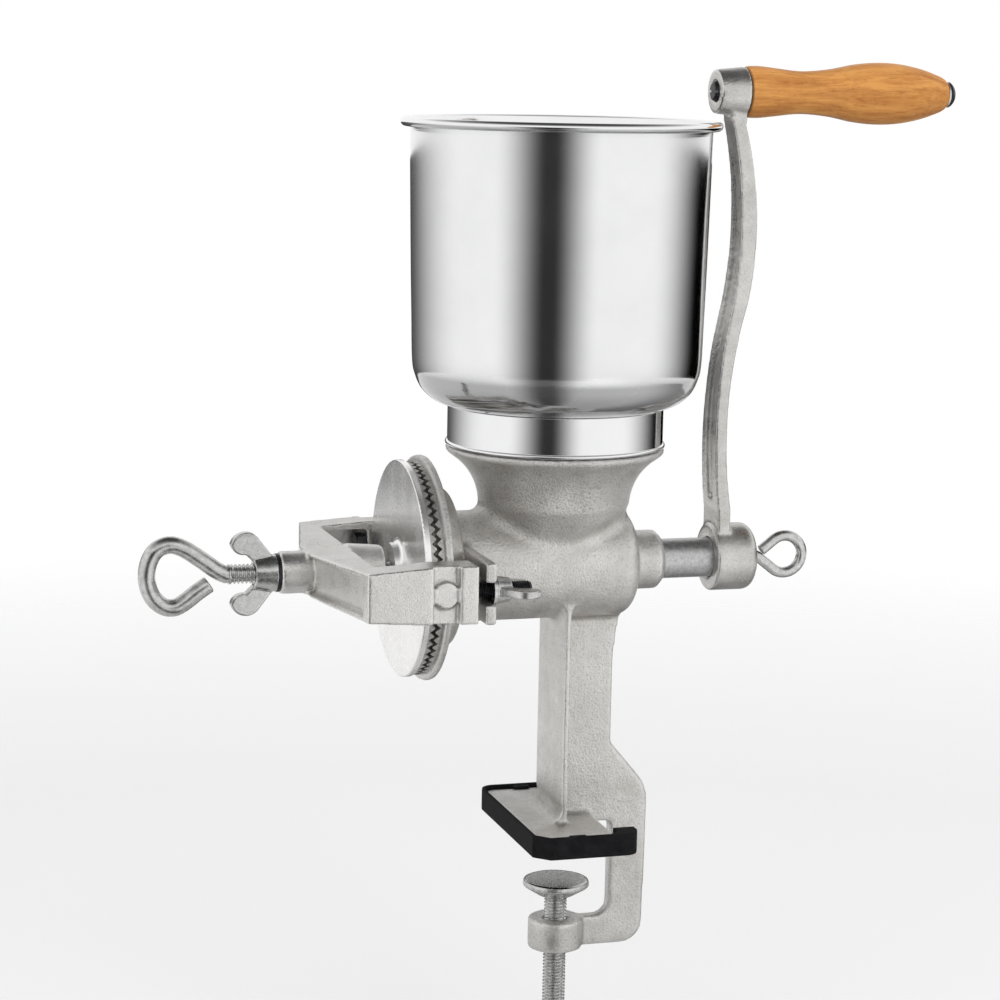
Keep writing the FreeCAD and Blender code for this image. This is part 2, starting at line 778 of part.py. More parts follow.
# Bridge casting: a bar across the disc and two channel arms that reach back to the fork ears
def makeYoke():
    body = newBody("yoke")
    slab(body, "XY_Plane", [
        ("-armPlateBack", "armReach"),
        ("-barEnd", "armReach"),
        ("-barOuter", "barFlat"),
        ("-barOuter", "-barFlat"),
        ("-barEnd", "-armReach"),
        ("-armPlateBack", "-armReach"),
        ("-armPlateBack", "-armInner"),
        ("-barInner", "-armInner"),
        ("-barInner", "armInner"),
        ("-armPlateBack", "armInner"),
    ], "armHeight")
    # The bar is lower than the arms
    for side in ("", "-"):
        slab(body, "XZ_Plane", [
            ("-armBlockEnd", f"{side}armHeight / 2"),
            ("-barOuter - 1", f"{side}barHeight / 2"),
            ("-barOuter - 1", f"{side}(armHeight / 2 + 1)"),
            ("-armBlockEnd", f"{side}(armHeight / 2 + 1)"),
        ], "2 * armReach + 2", "Pocket")
    # Recessed panel in the outer face of the bar
    slope = "(barOuter - barEnd) / (armReach - barFlat)"
    slab(body, "XY_Plane", [
        (f"-barEnd - {slope} * armMargin + panelDepth", "armReach - armMargin"),
        ("-barOuter + panelDepth", "barFlat"),
        ("-barOuter + panelDepth", "-barFlat"),
        (f"-barEnd - {slope} * armMargin + panelDepth", "-armReach + armMargin"),
        ("-barOuter - 1", "-armReach + armMargin"),
        ("-barOuter - 1", "armReach - armMargin"),
    ], "panelHeight", "Pocket")
    turned(body, [
        ("-yokeBossEnd", "0"),
        ("-yokeBossEnd", "yokeBossRadius - yokeBossEdge"),
        ("-yokeBossEnd + yokeBossEdge", "yokeBossRadius"),
        ("-barInner - 1", "yokeBossRadius"),
        ("-barInner", "innerBossRadius"),
        ("-innerBossEnd", "innerBossRadius - yokeBossTaper"),
        ("-innerBossEnd", "0"),
    ])
    rod(body, "X", "adjustRadius + runningFit", ("-yokeBossEnd - 1", "0", "0"),
        "yokeBossEnd - innerBossEnd + 2", "SubtractiveCylinder")
    for side in ("", "-"):
        block(body, ("-(barInner + armBlockEnd) / 2", f"{side}(armInner - 1 + armReach - armWall) / 2", "0"),
              ("barInner - armBlockEnd", "armReach - armWall - armInner + 1", "armHeight - 3 * armWall"),
              "SubtractiveBox")
        block(body, ("-(armBlockEnd + armPlateFront) / 2", f"{side}(neckReach + armReach + 1) / 2", "0"),
              ("armBlockEnd - armPlateFront", "armReach + 1 - neckReach", "armHeight + 2"), "SubtractiveBox")
        domeStart = "-neckReach - domeRise" if side else "neckReach - 0.5"
        rod(body, "Y", "domeRadius", ("-(armBlockEnd + armPlateFront) / 2", domeStart, "0"), "domeRise + 0.5")
        rod(body, "X", "boltRadius + slotClearance", ("-armBlockEnd - 1", f"{side}boltReach", "0"),
            "armBlockEnd - armPlateBack + 2", "SubtractiveCylinder")
    return body


# Two hexagon bolts along X, their heads bearing on the arms
def makeYokeBolts():
    body = newBody("yokeBolts")
    for side in ("", "-"):
        head = add(body, "AdditivePrism")
        head.Polygon = 6
        bind(head, Circumradius="boltHeadWidth / sqrt(3)", Height="boltHeadHeight")
        place(head, "-armBlockEnd - boltHeadHeight", f"{side}boltReach", "0", turnToX)
        rod(body, "X", "boltRadius", ("-armBlockEnd - 1", f"{side}boltReach", "0"),
            "armBlockEnd - boltTip + 1")
    return body


def makeWasher(name, radius, bore, thickness):
    body = newBody(name)
    rod(body, "Z", radius, ("0", "0", "0"), thickness)
    rod(body, "Z", bore, ("0", "0", "-1"), f"{thickness} + 2", "SubtractiveCylinder")
    return body


# A wing nut with its bearing face at Z 0 and its wings in the XZ plane
def makeWingNut(name, kind, thread):
    body = newBody(name)
    radius, topRadius, height = f"{kind}NutRadius", f"{kind}NutTopRadius", f"{kind}NutHeight"
    reach, wingHeight, lobe = f"{kind}WingReach", f"{kind}WingHeight", f"{kind}WingLobe"
    hub = add(body, "AdditiveCone")
    bind(hub, Radius1=radius, Radius2=topRadius, Height=height)
    for side in ("", "-"):
        slab(body, "XZ_Plane", [
            (f"{side}0.75 * {radius}", f"0.05 * {height}"),
            (f"{side}0.85 * {reach}", f"0.38 * {wingHeight}"),
            (f"{side}({reach} - {lobe})", wingHeight, f"{side}{reach}", f"{wingHeight} - {lobe}"),
            (f"{side}({reach} - 1.9 * {lobe})", f"{wingHeight} - 1.3 * {lobe}",
             f"{side}({reach} - 1.8 * {lobe})", f"{wingHeight} - 0.6 * {lobe}"),
            (f"{side}0.75 * {topRadius}", height),
        ], f"{kind}WingThickness")
    rod(body, "Z", f"{thread} + runningFit", ("0", "0", "-1"), f"{wingHeight} + 2", "SubtractiveCylinder")
    return body


# A screw along Z whose plain end is bent into an eye in the XZ plane: the wire leaves the neck
# slanting, goes round the far end and comes back straight, to end just before its own neck
def makeEyeScrew(name, tip, thread, wire, bend, loop, reach):
    body = newBody(name)
    apex = f"({reach} - {loop} / sin(eyeAngle))"
    tangent = f"({bend} * tan(eyeAngle / 2))"
    tail = f"(({wire} * (1 + cos(2 * eyeAngle)) + eyeTail) / sin(2 * eyeAngle))"
    threadEnd = f"({apex} - {tangent} - eyeNeck)"
    rod(body, "Z", thread, ("0", "0", tip), f"{threadEnd} - {tip}")
    path = outline(body, "XZ_Plane", [
        ("0", f"{threadEnd} - 1"),
        ("0", f"{apex} - {tangent}"),
        (f"{tangent} * sin(eyeAngle)", f"{apex} + {tangent} * cos(eyeAngle)", bend, "right"),
        (f"{loop} * cos(eyeAngle)", f"{reach} - {loop} * sin(eyeAngle)"),
        ("0", f"{reach} + {loop}", loop, "left"),
        (f"-{loop} * cos(eyeAngle)", f"{reach} - {loop} * sin(eyeAngle)", loop, "left"),
        (f"-{tail} * sin(eyeAngle)", f"{apex} + {tail} * cos(eyeAngle)"),
    ], closed=False)
    pipe = add(body, "AdditivePipe")
    pipe.Profile = disk(body, "XY_Plane", wire, f"{threadEnd} - 1")
    pipe.Spine = (path, [f"Edge{i + 1}" for i in range(6)])
    return body


# S curved arm between the hub on the shaft and the hub of the grip
def makeCrankArm():
    body = newBody("crankArm")
    crest = "(crankThrow * 0.55)"
    top = "(crankThrow - upperHubRadius - 1)"
    knee = "((armDip + armCrest) / 2 + armBow)"
    slab(body, "XZ_Plane", [
        ("armFoot + 0.4", "0"),
        ("armFoot", "lowerHubRadius + 8"),
        (knee, crest, "armDip", "0.3 * crankThrow"),
        ("armTop", top, "armCrest", "0.75 * crankThrow"),
        ("armTop - 1.5", "crankThrow"),
        ("upperHubEnd", "crankThrow"),
        ("upperHubEnd", top),
        ("armTop + armTopThickness", f"{top} - 2.5"),
        (f"{knee} + armMiddleThickness", crest, "armCrest + armCrestThickness", "0.75 * crankThrow"),
        ("armFoot + armFootThickness", "lowerHubRadius + 8", "armDip + armDipThickness", "0.28 * crankThrow"),
        ("armFoot + armFootThickness", "0"),
    ], "armFootWidth")
    outer = "(upperHubEnd + armCrestThickness + 5)"
    for side in ("", "-"):
        taper = add(body, "Pocket")
        taper.Profile = outline(body, "YZ_Plane", [
            (f"{side}armFootWidth / 2", "lowerHubRadius"),
            (f"{side}armTopWidth / 2", "crankThrow"),
            (f"{side}armTopWidth / 2", "crankThrow + 1"),
            (f"{side}(armFootWidth / 2 + 1)", "crankThrow + 1"),
            (f"{side}(armFootWidth / 2 + 1)", "lowerHubRadius"),
        ], outer)
        bind(taper, Length=f"{outer} - armDip + armGroove + 5")
    # Groove along the inner face
    slab(body, "XZ_Plane", [
        ("armDip - 5", "lowerHubRadius + 14"),
        ("armFoot + armGroove / 2", "lowerHubRadius + 14"),
        (f"{knee} + armGroove", crest, "armDip + armGroove", "0.3 * crankThrow"),
        ("armTop + armGroove * 1.6", f"{top} - 8", "armCrest + armGroove", "0.75 * crankThrow"),
        ("armDip - 5", f"{top} - 8"),
    ], "armGrooveShare * armTopWidth", "Pocket")
    turned(body, [
        ("lowerHubStart", "0"),
        ("lowerHubStart", "lowerHubRadius - lowerHubEdge"),
        ("lowerHubStart + lowerHubEdge", "lowerHubRadius", "lowerHubEdge", "right"),
        ("lowerHubEnd - lowerHubRound", "lowerHubRadius"),
        ("lowerHubEnd", "lowerHubRadius - lowerHubRound", "lowerHubRound", "right"),
        ("lowerHubEnd", "0"),
    ])
    hub = add(body, "AdditiveCone")
    bind(hub, Radius1="upperHubRadius - upperHubTaper", Radius2="upperHubRadius",
         Height="upperHubEnd - upperHubStart")
    place(hub, "upperHubStart", "0", "crankThrow", turnToX)
    rod(body, "X", "shaftRadius + runningFit", ("lowerHubStart - 1", "0", "0"),
        "shaftEnd + seatGap - lowerHubStart + 1", "SubtractiveCylinder")
    rod(body, "X", "crankScrewRadius + slotClearance", ("lowerHubStart", "0", "0"),
        "lowerHubEnd - lowerHubStart + 1", "SubtractiveCylinder")
    rod(body, "X", "handleBoltRadius + runningFit", ("upperHubStart - 1", "0", "crankThrow"),
        "upperHubEnd - upperHubStart + 2", "SubtractiveCylinder")
    rod(body, "X", "handleBoltHead + handleBoltRoom", ("upperHubStart - 1", "0", "crankThrow"),
        "handleBoltSink + 1", "SubtractiveCylinder")
    return body


# The wooden grip turned about its own X axis
def makeGrip():
    body = newBody("handleGrip")
    baseEnd = "(gripStart + 5 * gripEdge)"
    tipStart = "(gripEnd - gripEndRound)"
    turned(body, [
        ("gripStart", "0"),
        ("gripStart", "gripBaseRadius - gripEdge"),
        (baseEnd, "gripBaseRadius", "gripStart + 1.5 * gripEdge", "gripBaseRadius - gripEdge / 4"),
        ("gripWaistReach", "gripWaistRadius",
         "(gripStart + gripWaistReach) / 2 + 2", "(gripBaseRadius + gripWaistRadius) / 2 - 0.7"),
        ("gripBellyReach", "gripBellyRadius",
         "(gripWaistReach + gripBellyReach) / 2", "(gripWaistRadius + gripBellyRadius) / 2 + 0.6"),
        (tipStart, "gripTipRadius + 1.9",
         "(gripBellyReach + gripEnd) / 2 + 2", "(gripTipRadius + gripBellyRadius) / 2 + 2"),
        ("gripEnd", "gripTipRadius - 1", "gripEnd - gripEndRound / 5", "gripTipRadius + 0.6"),
        ("gripEnd", "0"),
    ])
    rod(body, "X", "handleBoltRadius + runningFit", ("gripStart - 1", "0", "0"),
        "gripEnd - gripStart + 2", "SubtractiveCylinder")
    return body


def makeHandleBolt():
    body = newBody("handleBolt")
    start = "(upperHubStart + handleBoltSink - seatGap - handleBoltHeadHeight)"
    end = f"({handleNutFace} + handleNutHeight - handleNutEdge)"
    turned(body, [
        (start, "0"),
        (start, "handleBoltHead - handleBoltRound"),
        (f"{start} + handleBoltRound", "handleBoltHead", "handleBoltRound", "right"),
        (f"{start} + handleBoltHeadHeight", "handleBoltHead"),
        (f"{start} + handleBoltHeadHeight", "handleBoltRadius"),
        (end, "handleBoltRadius"),
        (end, "0"),
    ])
    block(body, (start, "0", "0"), ("2 * handleBoltSlot", "2 * handleBoltHead + 2", "handleBoltSlot"),
          "SubtractiveBox")
    return body


# Dome nut along X, screwed on the end of the grip's bolt
def makeHandleNut():
    body = newBody("handleNut")
    domeStart = f"({handleNutFace} + handleNutEdge)"
    turned(body, [
        (handleNutFace, "0"),
        (handleNutFace, "handleNutRadius"),
        (domeStart, "handleNutRadius"),
        (f"{handleNutFace} + handleNutHeight", "0",
         f"{domeStart} + 0.8 * (handleNutHeight - handleNutEdge)", "0.6 * handleNutRadius"),
    ])
    rod(body, "X", "handleBoltRadius + runningFit", (f"{handleNutFace} - 1", "0", "0"),
        "handleNutHeight - handleNutEdge + 1 + seatGap", "SubtractiveCylinder")
    return body


# Rubber tray that the foot plate sits in, with tabs that lap over the plate. Its right end stays
# open between two corner lugs, so that the web of the leg can pass
def makeFootPad():
    body = newBody("footPad")
    rimTop = f"({plateUnder} + padRimHeight)"
    opening = f"({plateRight} + seatGap)"
    tray = roundedPlate("padRim", "(plateCorner + padRim)", padEnd)
    pad(body, "XY_Plane", tray, "padSole + padRimHeight", padUnder)
    recess = roundedPlate("seatGap", "(plateCorner + seatGap)", opening)
    pad(body, "XY_Plane", recess, "padRimHeight", rimTop, "Pocket")
    block(body, (f"({opening} + {padEnd} + 1) / 2", "0", f"({padUnder} + {rimTop}) / 2"),
          (f"{padEnd} + 1 - {opening}", "padNotch", "padSole + padRimHeight + 2"), "SubtractiveBox")
    for side in ("", "-"):
        block(body, (f"({plateLeft} + {plateRight}) / 2", f"{side}(plateWidth + padRim - padTab) / 2",
                     f"{plateTop} + seatGap + padTabThickness / 2"),
              ("padTabLength", "padTab + padRim", "padTabThickness"))
    return body


# Swivel cup at the top of the clamp screw
def makeClampPad():
    body = newBody("clampPad")
    turned(body, [
        ("0", cupTop),
        ("clampCupRadius - clampCupEdge", cupTop),
        ("clampCupRadius", f"{cupTop} - clampCupEdge", "clampCupEdge", "right"),
        ("clampCupRadius", f"{cupTop} - clampCupRim"),
        ("clampTipRadius + clampCupWall", cupUnder),
        ("0", cupUnder),
    ], "V_Axis")
    rod(body, "Z", "clampTipRadius + runningFit", ("0", "0", f"{cupUnder} - 1"),
        "clampTipLength + 1", "SubtractiveCylinder")
    return body


def makeClampScrew():
    start = f"(-({cupUnder}) + seatGap)"
    reach = (f"({start} + clampScrewLength + eyeNeck + clampScrewBend * tan(eyeAngle / 2)"
             " + clampScrewLoop / sin(eyeAngle))")
    body = makeEyeScrew("clampScrew", start, "clampScrewRadius", "clampScrewRod", "clampScrewBend",
                        "clampScrewLoop", reach)
    rod(body, "Z", "clampTipRadius", ("0", "0", f"{start} - clampTipLength"), "clampTipLength + 1")
    return body


# Polished bowl with a rolled lip, its neck pushed into the collar
def makeHopperBowl():
    body = newBody("hopperBowl")
    neck = "(collarRadius - collarWall - seatGap)"
    foot = "(collarTop + bowlFootGap)"
    turned(body, [
        (f"{neck} - bowlWall", "collarTop - bowlNeckDepth"),
        (neck, "collarTop - bowlNeckDepth"),
        (neck, "collarTop + seatGap"),
        ("bowlFootRadius", foot),
        ("bowlShoulderRadius", "bowlShoulderHeight", "bowlCurveRadius", "bowlCurveHeight"),
        ("bowlRimRadius", "bowlRimHeight - lipHeight"),
        ("bowlRimRadius", "bowlRimHeight", "lipRadius", "bowlRimHeight - lipHeight / 2"),
        ("bowlRimRadius - bowlWall", "bowlRimHeight"),
        ("bowlShoulderRadius - bowlWall", "bowlShoulderHeight"),
        ("bowlFootRadius - bowlWall / 2", f"{foot} + bowlWall",
         "bowlCurveRadius - 0.7 * bowlWall", "bowlCurveHeight + 0.7 * bowlWall"),
        (f"{neck} - bowlWall", f"{foot} + bowlWall"),
    ], "V_Axis")
    return body


# Band under the bowl with a beaded foot and a spigot in the mouth of the casting
def makeHopperCollar():
    body = newBody("hopperCollar")
    spigot = "(seatRadius - spigotClearance)"
    turned(body, [
        (f"{spigot} - collarWall", "mouthHeight - spigotDepth"),
        (spigot, "mouthHeight - spigotDepth"),
        (spigot, collarFoot),
        ("collarRadius", collarFoot),
        ("collarRadius", f"{collarFoot} + 2 * beadRadius",
         "collarRadius + beadRadius", f"{collarFoot} + beadRadius"),
        ("collarRadius", "collarTop"),
        ("collarRadius - collarWall", "collarTop"),
        ("collarRadius - collarWall", f"{collarFoot} + collarWall"),
        (f"{spigot} - collarWall", f"{collarFoot} + collarWall"),
    ], "V_Axis")
    return body


turnToMinusX = FreeCAD.Rotation(FreeCAD.Vector(0, 1, 0), -90)
turnOver = FreeCAD.Rotation(FreeCAD.Vector(0, 1, 0), 180)
turnFlat = FreeCAD.Rotation(FreeCAD.Vector(1, 1, 1), 120)

keep(makeMillBody(), "mill_body")
keep(makeFootPad(), "foot_pad")
keep(makeHopperCollar(), "hopper_collar")
keep(makeHopperBowl(), "hopper_bowl")
keep(makeBurr("fixedBurr", "boreRadius"), "fixed_burr", fixedFace)
keep(makeBurrScrews("fixedBurrScrews"), "fixed_burr_screws", fixedFace)
keep(makeBurr("rotatingBurr", "innerHubRadius + runningFit"), "rotating_burr", movingFace, turn=turnOver)
keep(makeBurrScrews("rotatingBurrScrews"), "rotating_burr_screws", movingFace, turn=turnOver)
keep(makeRotorDisc(), "rotor_disc")
keep(makeAuger(), "auger", turn=turnToX)
keep(makePin("drivePin", "drivePinRadius", "drivePinLength"), "drive_pin", pinPlace, turn=turnToY)
keep(makeBall(), "thrust_ball", ballCentre)
keep(makeYoke(), "yoke")
keep(makeYokeBolts(), "yoke_bolts")
for side, name in (("-", "front"), ("", "rear")):
    bolt = f"{side}boltReach"
    washer = makeWasher("yokeWasher" + name, "boltWasherRadius", "boltRadius + slotClearance",
                        "boltWasherThickness")
    keep(washer, "yoke_washer_" + name, f"{earBack} + seatGap", bolt, turn=turnToX)
    keep(makeWingNut("yokeNut" + name, "yoke", "boltRadius"),
         "yoke_nut_" + name, f"{earBack} + boltWasherThickness + 2 * seatGap", bolt, turn=turnFlat)
keep(makeWasher("lockWasher", "lockWasherRadius", "adjustRadius + slotClearance", "lockWasherThickness"),
     "lock_washer", "-yokeBossEnd - seatGap", turn=turnToMinusX)
keep(makeWingNut("lockNut", "lock", "adjustRadius"), "lock_nut",
     "-yokeBossEnd - lockWasherThickness - 2 * seatGap", turn=turnToMinusX)
keep(makeEyeScrew("adjustingScrew", f"(-({screwTip}))", "adjustRadius", "adjustRod", "adjustBend",
                  "adjustLoop", "adjustLoopReach"),
     "adjusting_screw", turn=turnToMinusX)
keep(makeCrankArm(), "crank_arm")
keep(makeEyeScrew("crankScrew", "(shaftEnd - crankScrewDepth + 1)", "crankScrewRadius", "crankScrewRod",
                  "crankScrewBend", "crankScrewLoop", "crankScrewReach"),
     "crank_screw", turn=turnToX)
keep(makeGrip(), "handle_grip", z="crankThrow")
keep(makeHandleBolt(), "handle_bolt", z="crankThrow")
keep(makeWasher("handleWasher", "handleNutRadius", "handleBoltRadius + runningFit", "handleWasherThickness"),
     "handle_washer", handleWasherFace, z="crankThrow", turn=turnToX)
keep(makeHandleNut(), "handle_nut", z="crankThrow")
keep(makeClampPad(), "clamp_pad", "hopperOffset")
keep(makeClampScrew(), "clamp_screw", "hopperOffset", turn=turnOver)

doc.recompute()
for item in doc.Objects:
    if "Invalid" in item.State or "Error" in item.State:
        raise RuntimeError(f"{item.Name} of {item.Label} could not be made: {item.getStatusString()}")
for label, piece in nodes.items():
    if piece.Shape.isNull() or not piece.Shape.isValid() or not piece.Shape.Solids:
        raise RuntimeError(f"{label} has no sound shape")
for label, piece in nodes.items():
    piece.Shape.exportStep(os.path.join("parts", label + ".step"))
    print(label, len(piece.Shape.Solids), round(piece.Shape.Volume))
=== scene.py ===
import json
import math

import bmesh
import bpy
from mathutils import Matrix, Vector


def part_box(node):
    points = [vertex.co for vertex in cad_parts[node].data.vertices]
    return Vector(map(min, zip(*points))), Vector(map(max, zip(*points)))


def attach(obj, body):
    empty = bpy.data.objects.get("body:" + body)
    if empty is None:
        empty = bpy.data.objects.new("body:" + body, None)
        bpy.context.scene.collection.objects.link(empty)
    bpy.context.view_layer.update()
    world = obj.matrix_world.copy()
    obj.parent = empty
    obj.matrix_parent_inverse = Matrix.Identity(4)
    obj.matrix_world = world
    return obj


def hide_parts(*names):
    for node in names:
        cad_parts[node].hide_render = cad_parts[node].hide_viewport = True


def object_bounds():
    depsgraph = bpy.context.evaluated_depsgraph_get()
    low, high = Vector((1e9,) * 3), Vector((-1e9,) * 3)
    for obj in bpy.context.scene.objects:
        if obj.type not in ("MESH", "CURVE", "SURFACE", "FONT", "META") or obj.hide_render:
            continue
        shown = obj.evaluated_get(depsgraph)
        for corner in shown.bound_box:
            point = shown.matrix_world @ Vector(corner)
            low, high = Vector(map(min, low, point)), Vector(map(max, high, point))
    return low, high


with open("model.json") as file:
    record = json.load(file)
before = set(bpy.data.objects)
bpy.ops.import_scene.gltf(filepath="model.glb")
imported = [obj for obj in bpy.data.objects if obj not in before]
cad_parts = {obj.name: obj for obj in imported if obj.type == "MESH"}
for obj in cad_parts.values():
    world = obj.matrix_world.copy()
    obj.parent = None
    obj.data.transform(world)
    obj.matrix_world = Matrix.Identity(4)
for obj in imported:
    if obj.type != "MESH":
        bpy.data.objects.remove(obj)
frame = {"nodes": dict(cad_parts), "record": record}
cadBox = [list(corner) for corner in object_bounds()]
nodes = frame["nodes"]
bodyOf = {node: body for body, members in frame["record"]["behaviour"]["bodies"].items() for node in members}
slotOf = {part["node"]: part["material_slot"] for part in frame["record"]["subparts"]}
print("frame loaded:", len(nodes), "nodes")

# Pieces are measured in millimetres from the point where the shaft axis crosses the hopper axis
mm = 0.001
collarLow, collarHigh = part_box("hopper_collar")
discLow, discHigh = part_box("rotor_disc")
crossing = Vector(((collarLow.x + collarHigh.x) / 2, 0, (discLow.z + discHigh.z) / 2))


def at(x, y, z):
    return crossing + Vector((x, y, z)) * mm


# From a piece's own millimetres, Z along its axis, to its place on the mill
turns = {
    "Z": Matrix.Identity(4),
    "X": Matrix.Rotation(math.pi / 2, 4, "Y"),
    "-X": Matrix.Rotation(-math.pi / 2, 4, "Y"),
    "-Z": Matrix.Rotation(math.pi, 4, "Y"),
}


def placed(axis, x=0, y=0, z=0):
    return Matrix.Translation(at(x, y, z)) @ turns[axis] @ Matrix.Scale(mm, 4)


def linked(name, data):
    made = bpy.data.objects.new(name, data)
    bpy.context.scene.collection.objects.link(made)
    return made


# One value, vector or colour of a shader, written into sums like a number
class Signal:
    def __init__(self, graph, socket):
        self.graph = graph
        self.socket = socket

    def maths(self, operation, *values, clamp=False):
        settings = {"operation": operation, "use_clamp": clamp}
        return self.graph.node("ShaderNodeMath", settings, dict(enumerate(values)))

    def __add__(self, other):
        return self.maths("ADD", self, other)

    def __radd__(self, other):
        return self.maths("ADD", other, self)

    def __sub__(self, other):
        return self.maths("SUBTRACT", self, other)

    def __rsub__(self, other):
        return self.maths("SUBTRACT", other, self)

    def __mul__(self, other):
        return self.maths("MULTIPLY", self, other)

    def __rmul__(self, other):
        return self.maths("MULTIPLY", other, self)

    # 0 at low and 1 at high, clamped
    def between(self, low, high):
        return self.maths("MULTIPLY", self - low, 1 / (high - low), clamp=True)

    # The same, easing in and out
    def eased(self, low, high):
        share = self.between(low, high)
        return share * share * (3 - 2 * share)

    def atLeast(self, other):
        return self.maths("MAXIMUM", self, other)

    def sine(self):
        return self.maths("SINE", self)


# The node tree of a material or of the world
class Graph:
    def __init__(self, owner):
        owner.use_nodes = True
        self.tree = owner.node_tree
        self.tree.nodes.clear()

    # Any node: its settings first, then the values or links of its sockets, by name or number
    def node(self, kind, settings=None, sockets=None, output=0):
        made = self.tree.nodes.new(kind)
        for name, value in (settings or {}).items():
            setattr(made, name, value)
        for name, value in (sockets or {}).items():
            socket = made.inputs[name]
            if isinstance(value, Signal):
                self.tree.links.new(value.socket, socket)
            elif socket.type == "RGBA" and len(value) == 3:
                socket.default_value = (*value, 1)
            else:
                socket.default_value = value
        return Signal(self, made.outputs[output]) if len(made.outputs) else made

    def place(self):
        return self.node("ShaderNodeTexCoord", output="Object")

    def vector(self, operation, *values, output=0):
        return self.node("ShaderNodeVectorMath", {"operation": operation}, dict(enumerate(values)), output)

    # The X, Y or Z part of a vector
    def part(self, vector, axis):
        return self.node("ShaderNodeSeparateXYZ", {}, {0: vector}, axis)

    # Clouds whose features are about this many millimetres across, drawn out along an axis if asked
    def clouds(self, feature, detail=3, rough=0.55, stretch=(1, 1, 1), warp=0):
        scale = [1 / (feature * mm * share) for share in stretch]
        sockets = {"Vector": self.vector("MULTIPLY", self.place(), scale), "Scale": 1, "Detail": detail,
                   "Roughness": rough, "Distortion": warp}
        return self.node("ShaderNodeTexNoise", {}, sockets, "Fac")

    # Two colours by a share from 0 to 1
    def mixed(self, share, first, second):
        return self.node("ShaderNodeMix", {"data_type": "RGBA"}, {0: share, 6: first, 7: second}, 2)

    # Two shaders by a share from 0 to 1
    def blended(self, share, first, second):
        return self.node("ShaderNodeMixShader", {}, {0: share, 1: first, 2: second})

    # A height in relief of this many millimetres, over the relief below it
    def bumped(self, height, strength, distance, below=None):
        sockets = {"Height": height, "Strength": strength, "Distance": distance * mm}
        if below is not None:
            sockets["Normal"] = below
        return self.node("ShaderNodeBump", {}, sockets, "Normal")

    # How far the surface stands out, 1 on edges and 0 in hollows
    def edges(self, low, high):
        return self.node("ShaderNodeNewGeometry", output="Pointiness").between(low, high)

    # Distance in metres from the axis of the shaft
    def fromShaft(self):
        across = self.vector("MULTIPLY", self.vector("SUBTRACT", self.place(), tuple(crossing)), (0, 1, 1))
        return self.vector("LENGTH", across, output="Value")


# A material with one Principled shader
def finished(name, build):
    material = bpy.data.materials.new(name)
    graph = Graph(material)
    shader = graph.node("ShaderNodeBsdfPrincipled", {}, build(graph), "BSDF")
    graph.node("ShaderNodeOutputMaterial", {}, {"Surface": shader})
    return material


# Cast iron with a thin coat of tin: pebbly, with painted shade in its pits and hollows, and paler on
# its edges, partly for wear and partly as a painted highlight. It grows coarser between two heights over
# the shaft, which only the neck of the body reaches
castFinish = {
    "tinned_casting": {
        "pale": (0.80, 0.79, 0.77), "dull": (0.58, 0.56, 0.53),
        "pebble": 1.1, "depth": 0.38, "rough": 0.35, "coarse": (14, 30),
    },
    "smooth_casting": {
        "pale": (0.83, 0.82, 0.80), "dull": (0.68, 0.665, 0.64),
        "pebble": 0.8, "depth": 0.2, "rough": 0.31, "coarse": (400, 410),
    },
    "crank_iron": {
        "pale": (0.68, 0.67, 0.65), "dull": (0.50, 0.485, 0.46),
        "pebble": 0.8, "depth": 0.12, "rough": 0.29, "coarse": (400, 410),
    },
}
# Colours of the pits and hollows, which are painted shade, of the specks, and of the edges, which are paler
# partly for wear and partly as a painted highlight
tin = {
    "pitShade": (0.33, 0.31, 0.285), "speck": (0.26, 0.245, 0.225), "rubbedAndHighlit": (0.90, 0.89, 0.87),
    "hollowShadeColour": (0.24, 0.22, 0.19), "patch": 15, "speckSize": 0.5, "swell": 3.6, "metallic": 0.95,
}


def tinnedCasting(name):
    c = castFinish[name]

    def build(g):
        pebbles = g.clouds(c["pebble"], 3, 0.62)
        patches = g.clouds(tin["patch"], 4, 0.62)
        specks = g.clouds(tin["speckSize"], 2, 0.5)
        coarse = g.part(g.place(), "Z").eased(*(crossing.z + height * mm for height in c["coarse"]))
        worn = g.edges(0.51, 0.58)
        hollowShade = 1 - g.edges(0.43, 0.494)
        body = g.mixed(patches.between(0.32, 0.68), c["dull"], c["pale"])
        # Painted shade in the low pits of the pebbles, deeper where the skin grows coarse
        body = g.mixed(pebbles.between(0.47, 0.3) * (0.5 + coarse * 0.3), body, tin["pitShade"])
        body = g.mixed(specks.between(0.38, 0.28) * 0.3, body, tin["speck"])
        # Paler on the edges, partly for wear and partly as a painted highlight
        body = g.mixed(worn * 0.65, body, tin["rubbedAndHighlit"])
        # Painted shade: the colour darkens in the hollows, where the pointiness of the skin is low
        body = g.mixed(hollowShade * 0.8, body, tin["hollowShadeColour"])
        share = 0.5 + patches.between(0.35, 0.65) * 0.35 + coarse * 0.9
        relief = pebbles.between(0.3, 0.75) * share + specks * 0.25
        return {
            "Base Color": body,
            "Metallic": tin["metallic"],
            "Roughness": (c["rough"] + (patches - 0.5) * 0.3 - worn * 0.12).between(0, 1),
            "Normal": g.bumped(relief, 0.7, c["depth"], g.bumped(g.clouds(tin["swell"], 2), 0.35, 0.5)),
        }
    return finished(name, build)


# The carrier disc: faced on a lathe, then handled, so its rings are fine and its sheen is clouded
lathe = {
    "dull": (0.88, 0.87, 0.86), "pale": (0.98, 0.975, 0.965), "stain": (0.42, 0.41, 0.395),
    "cloud": 16, "stainSize": 2.6, "swell": 6, "rings": 2400, "metallic": 0.95, "rough": 0.27,
}


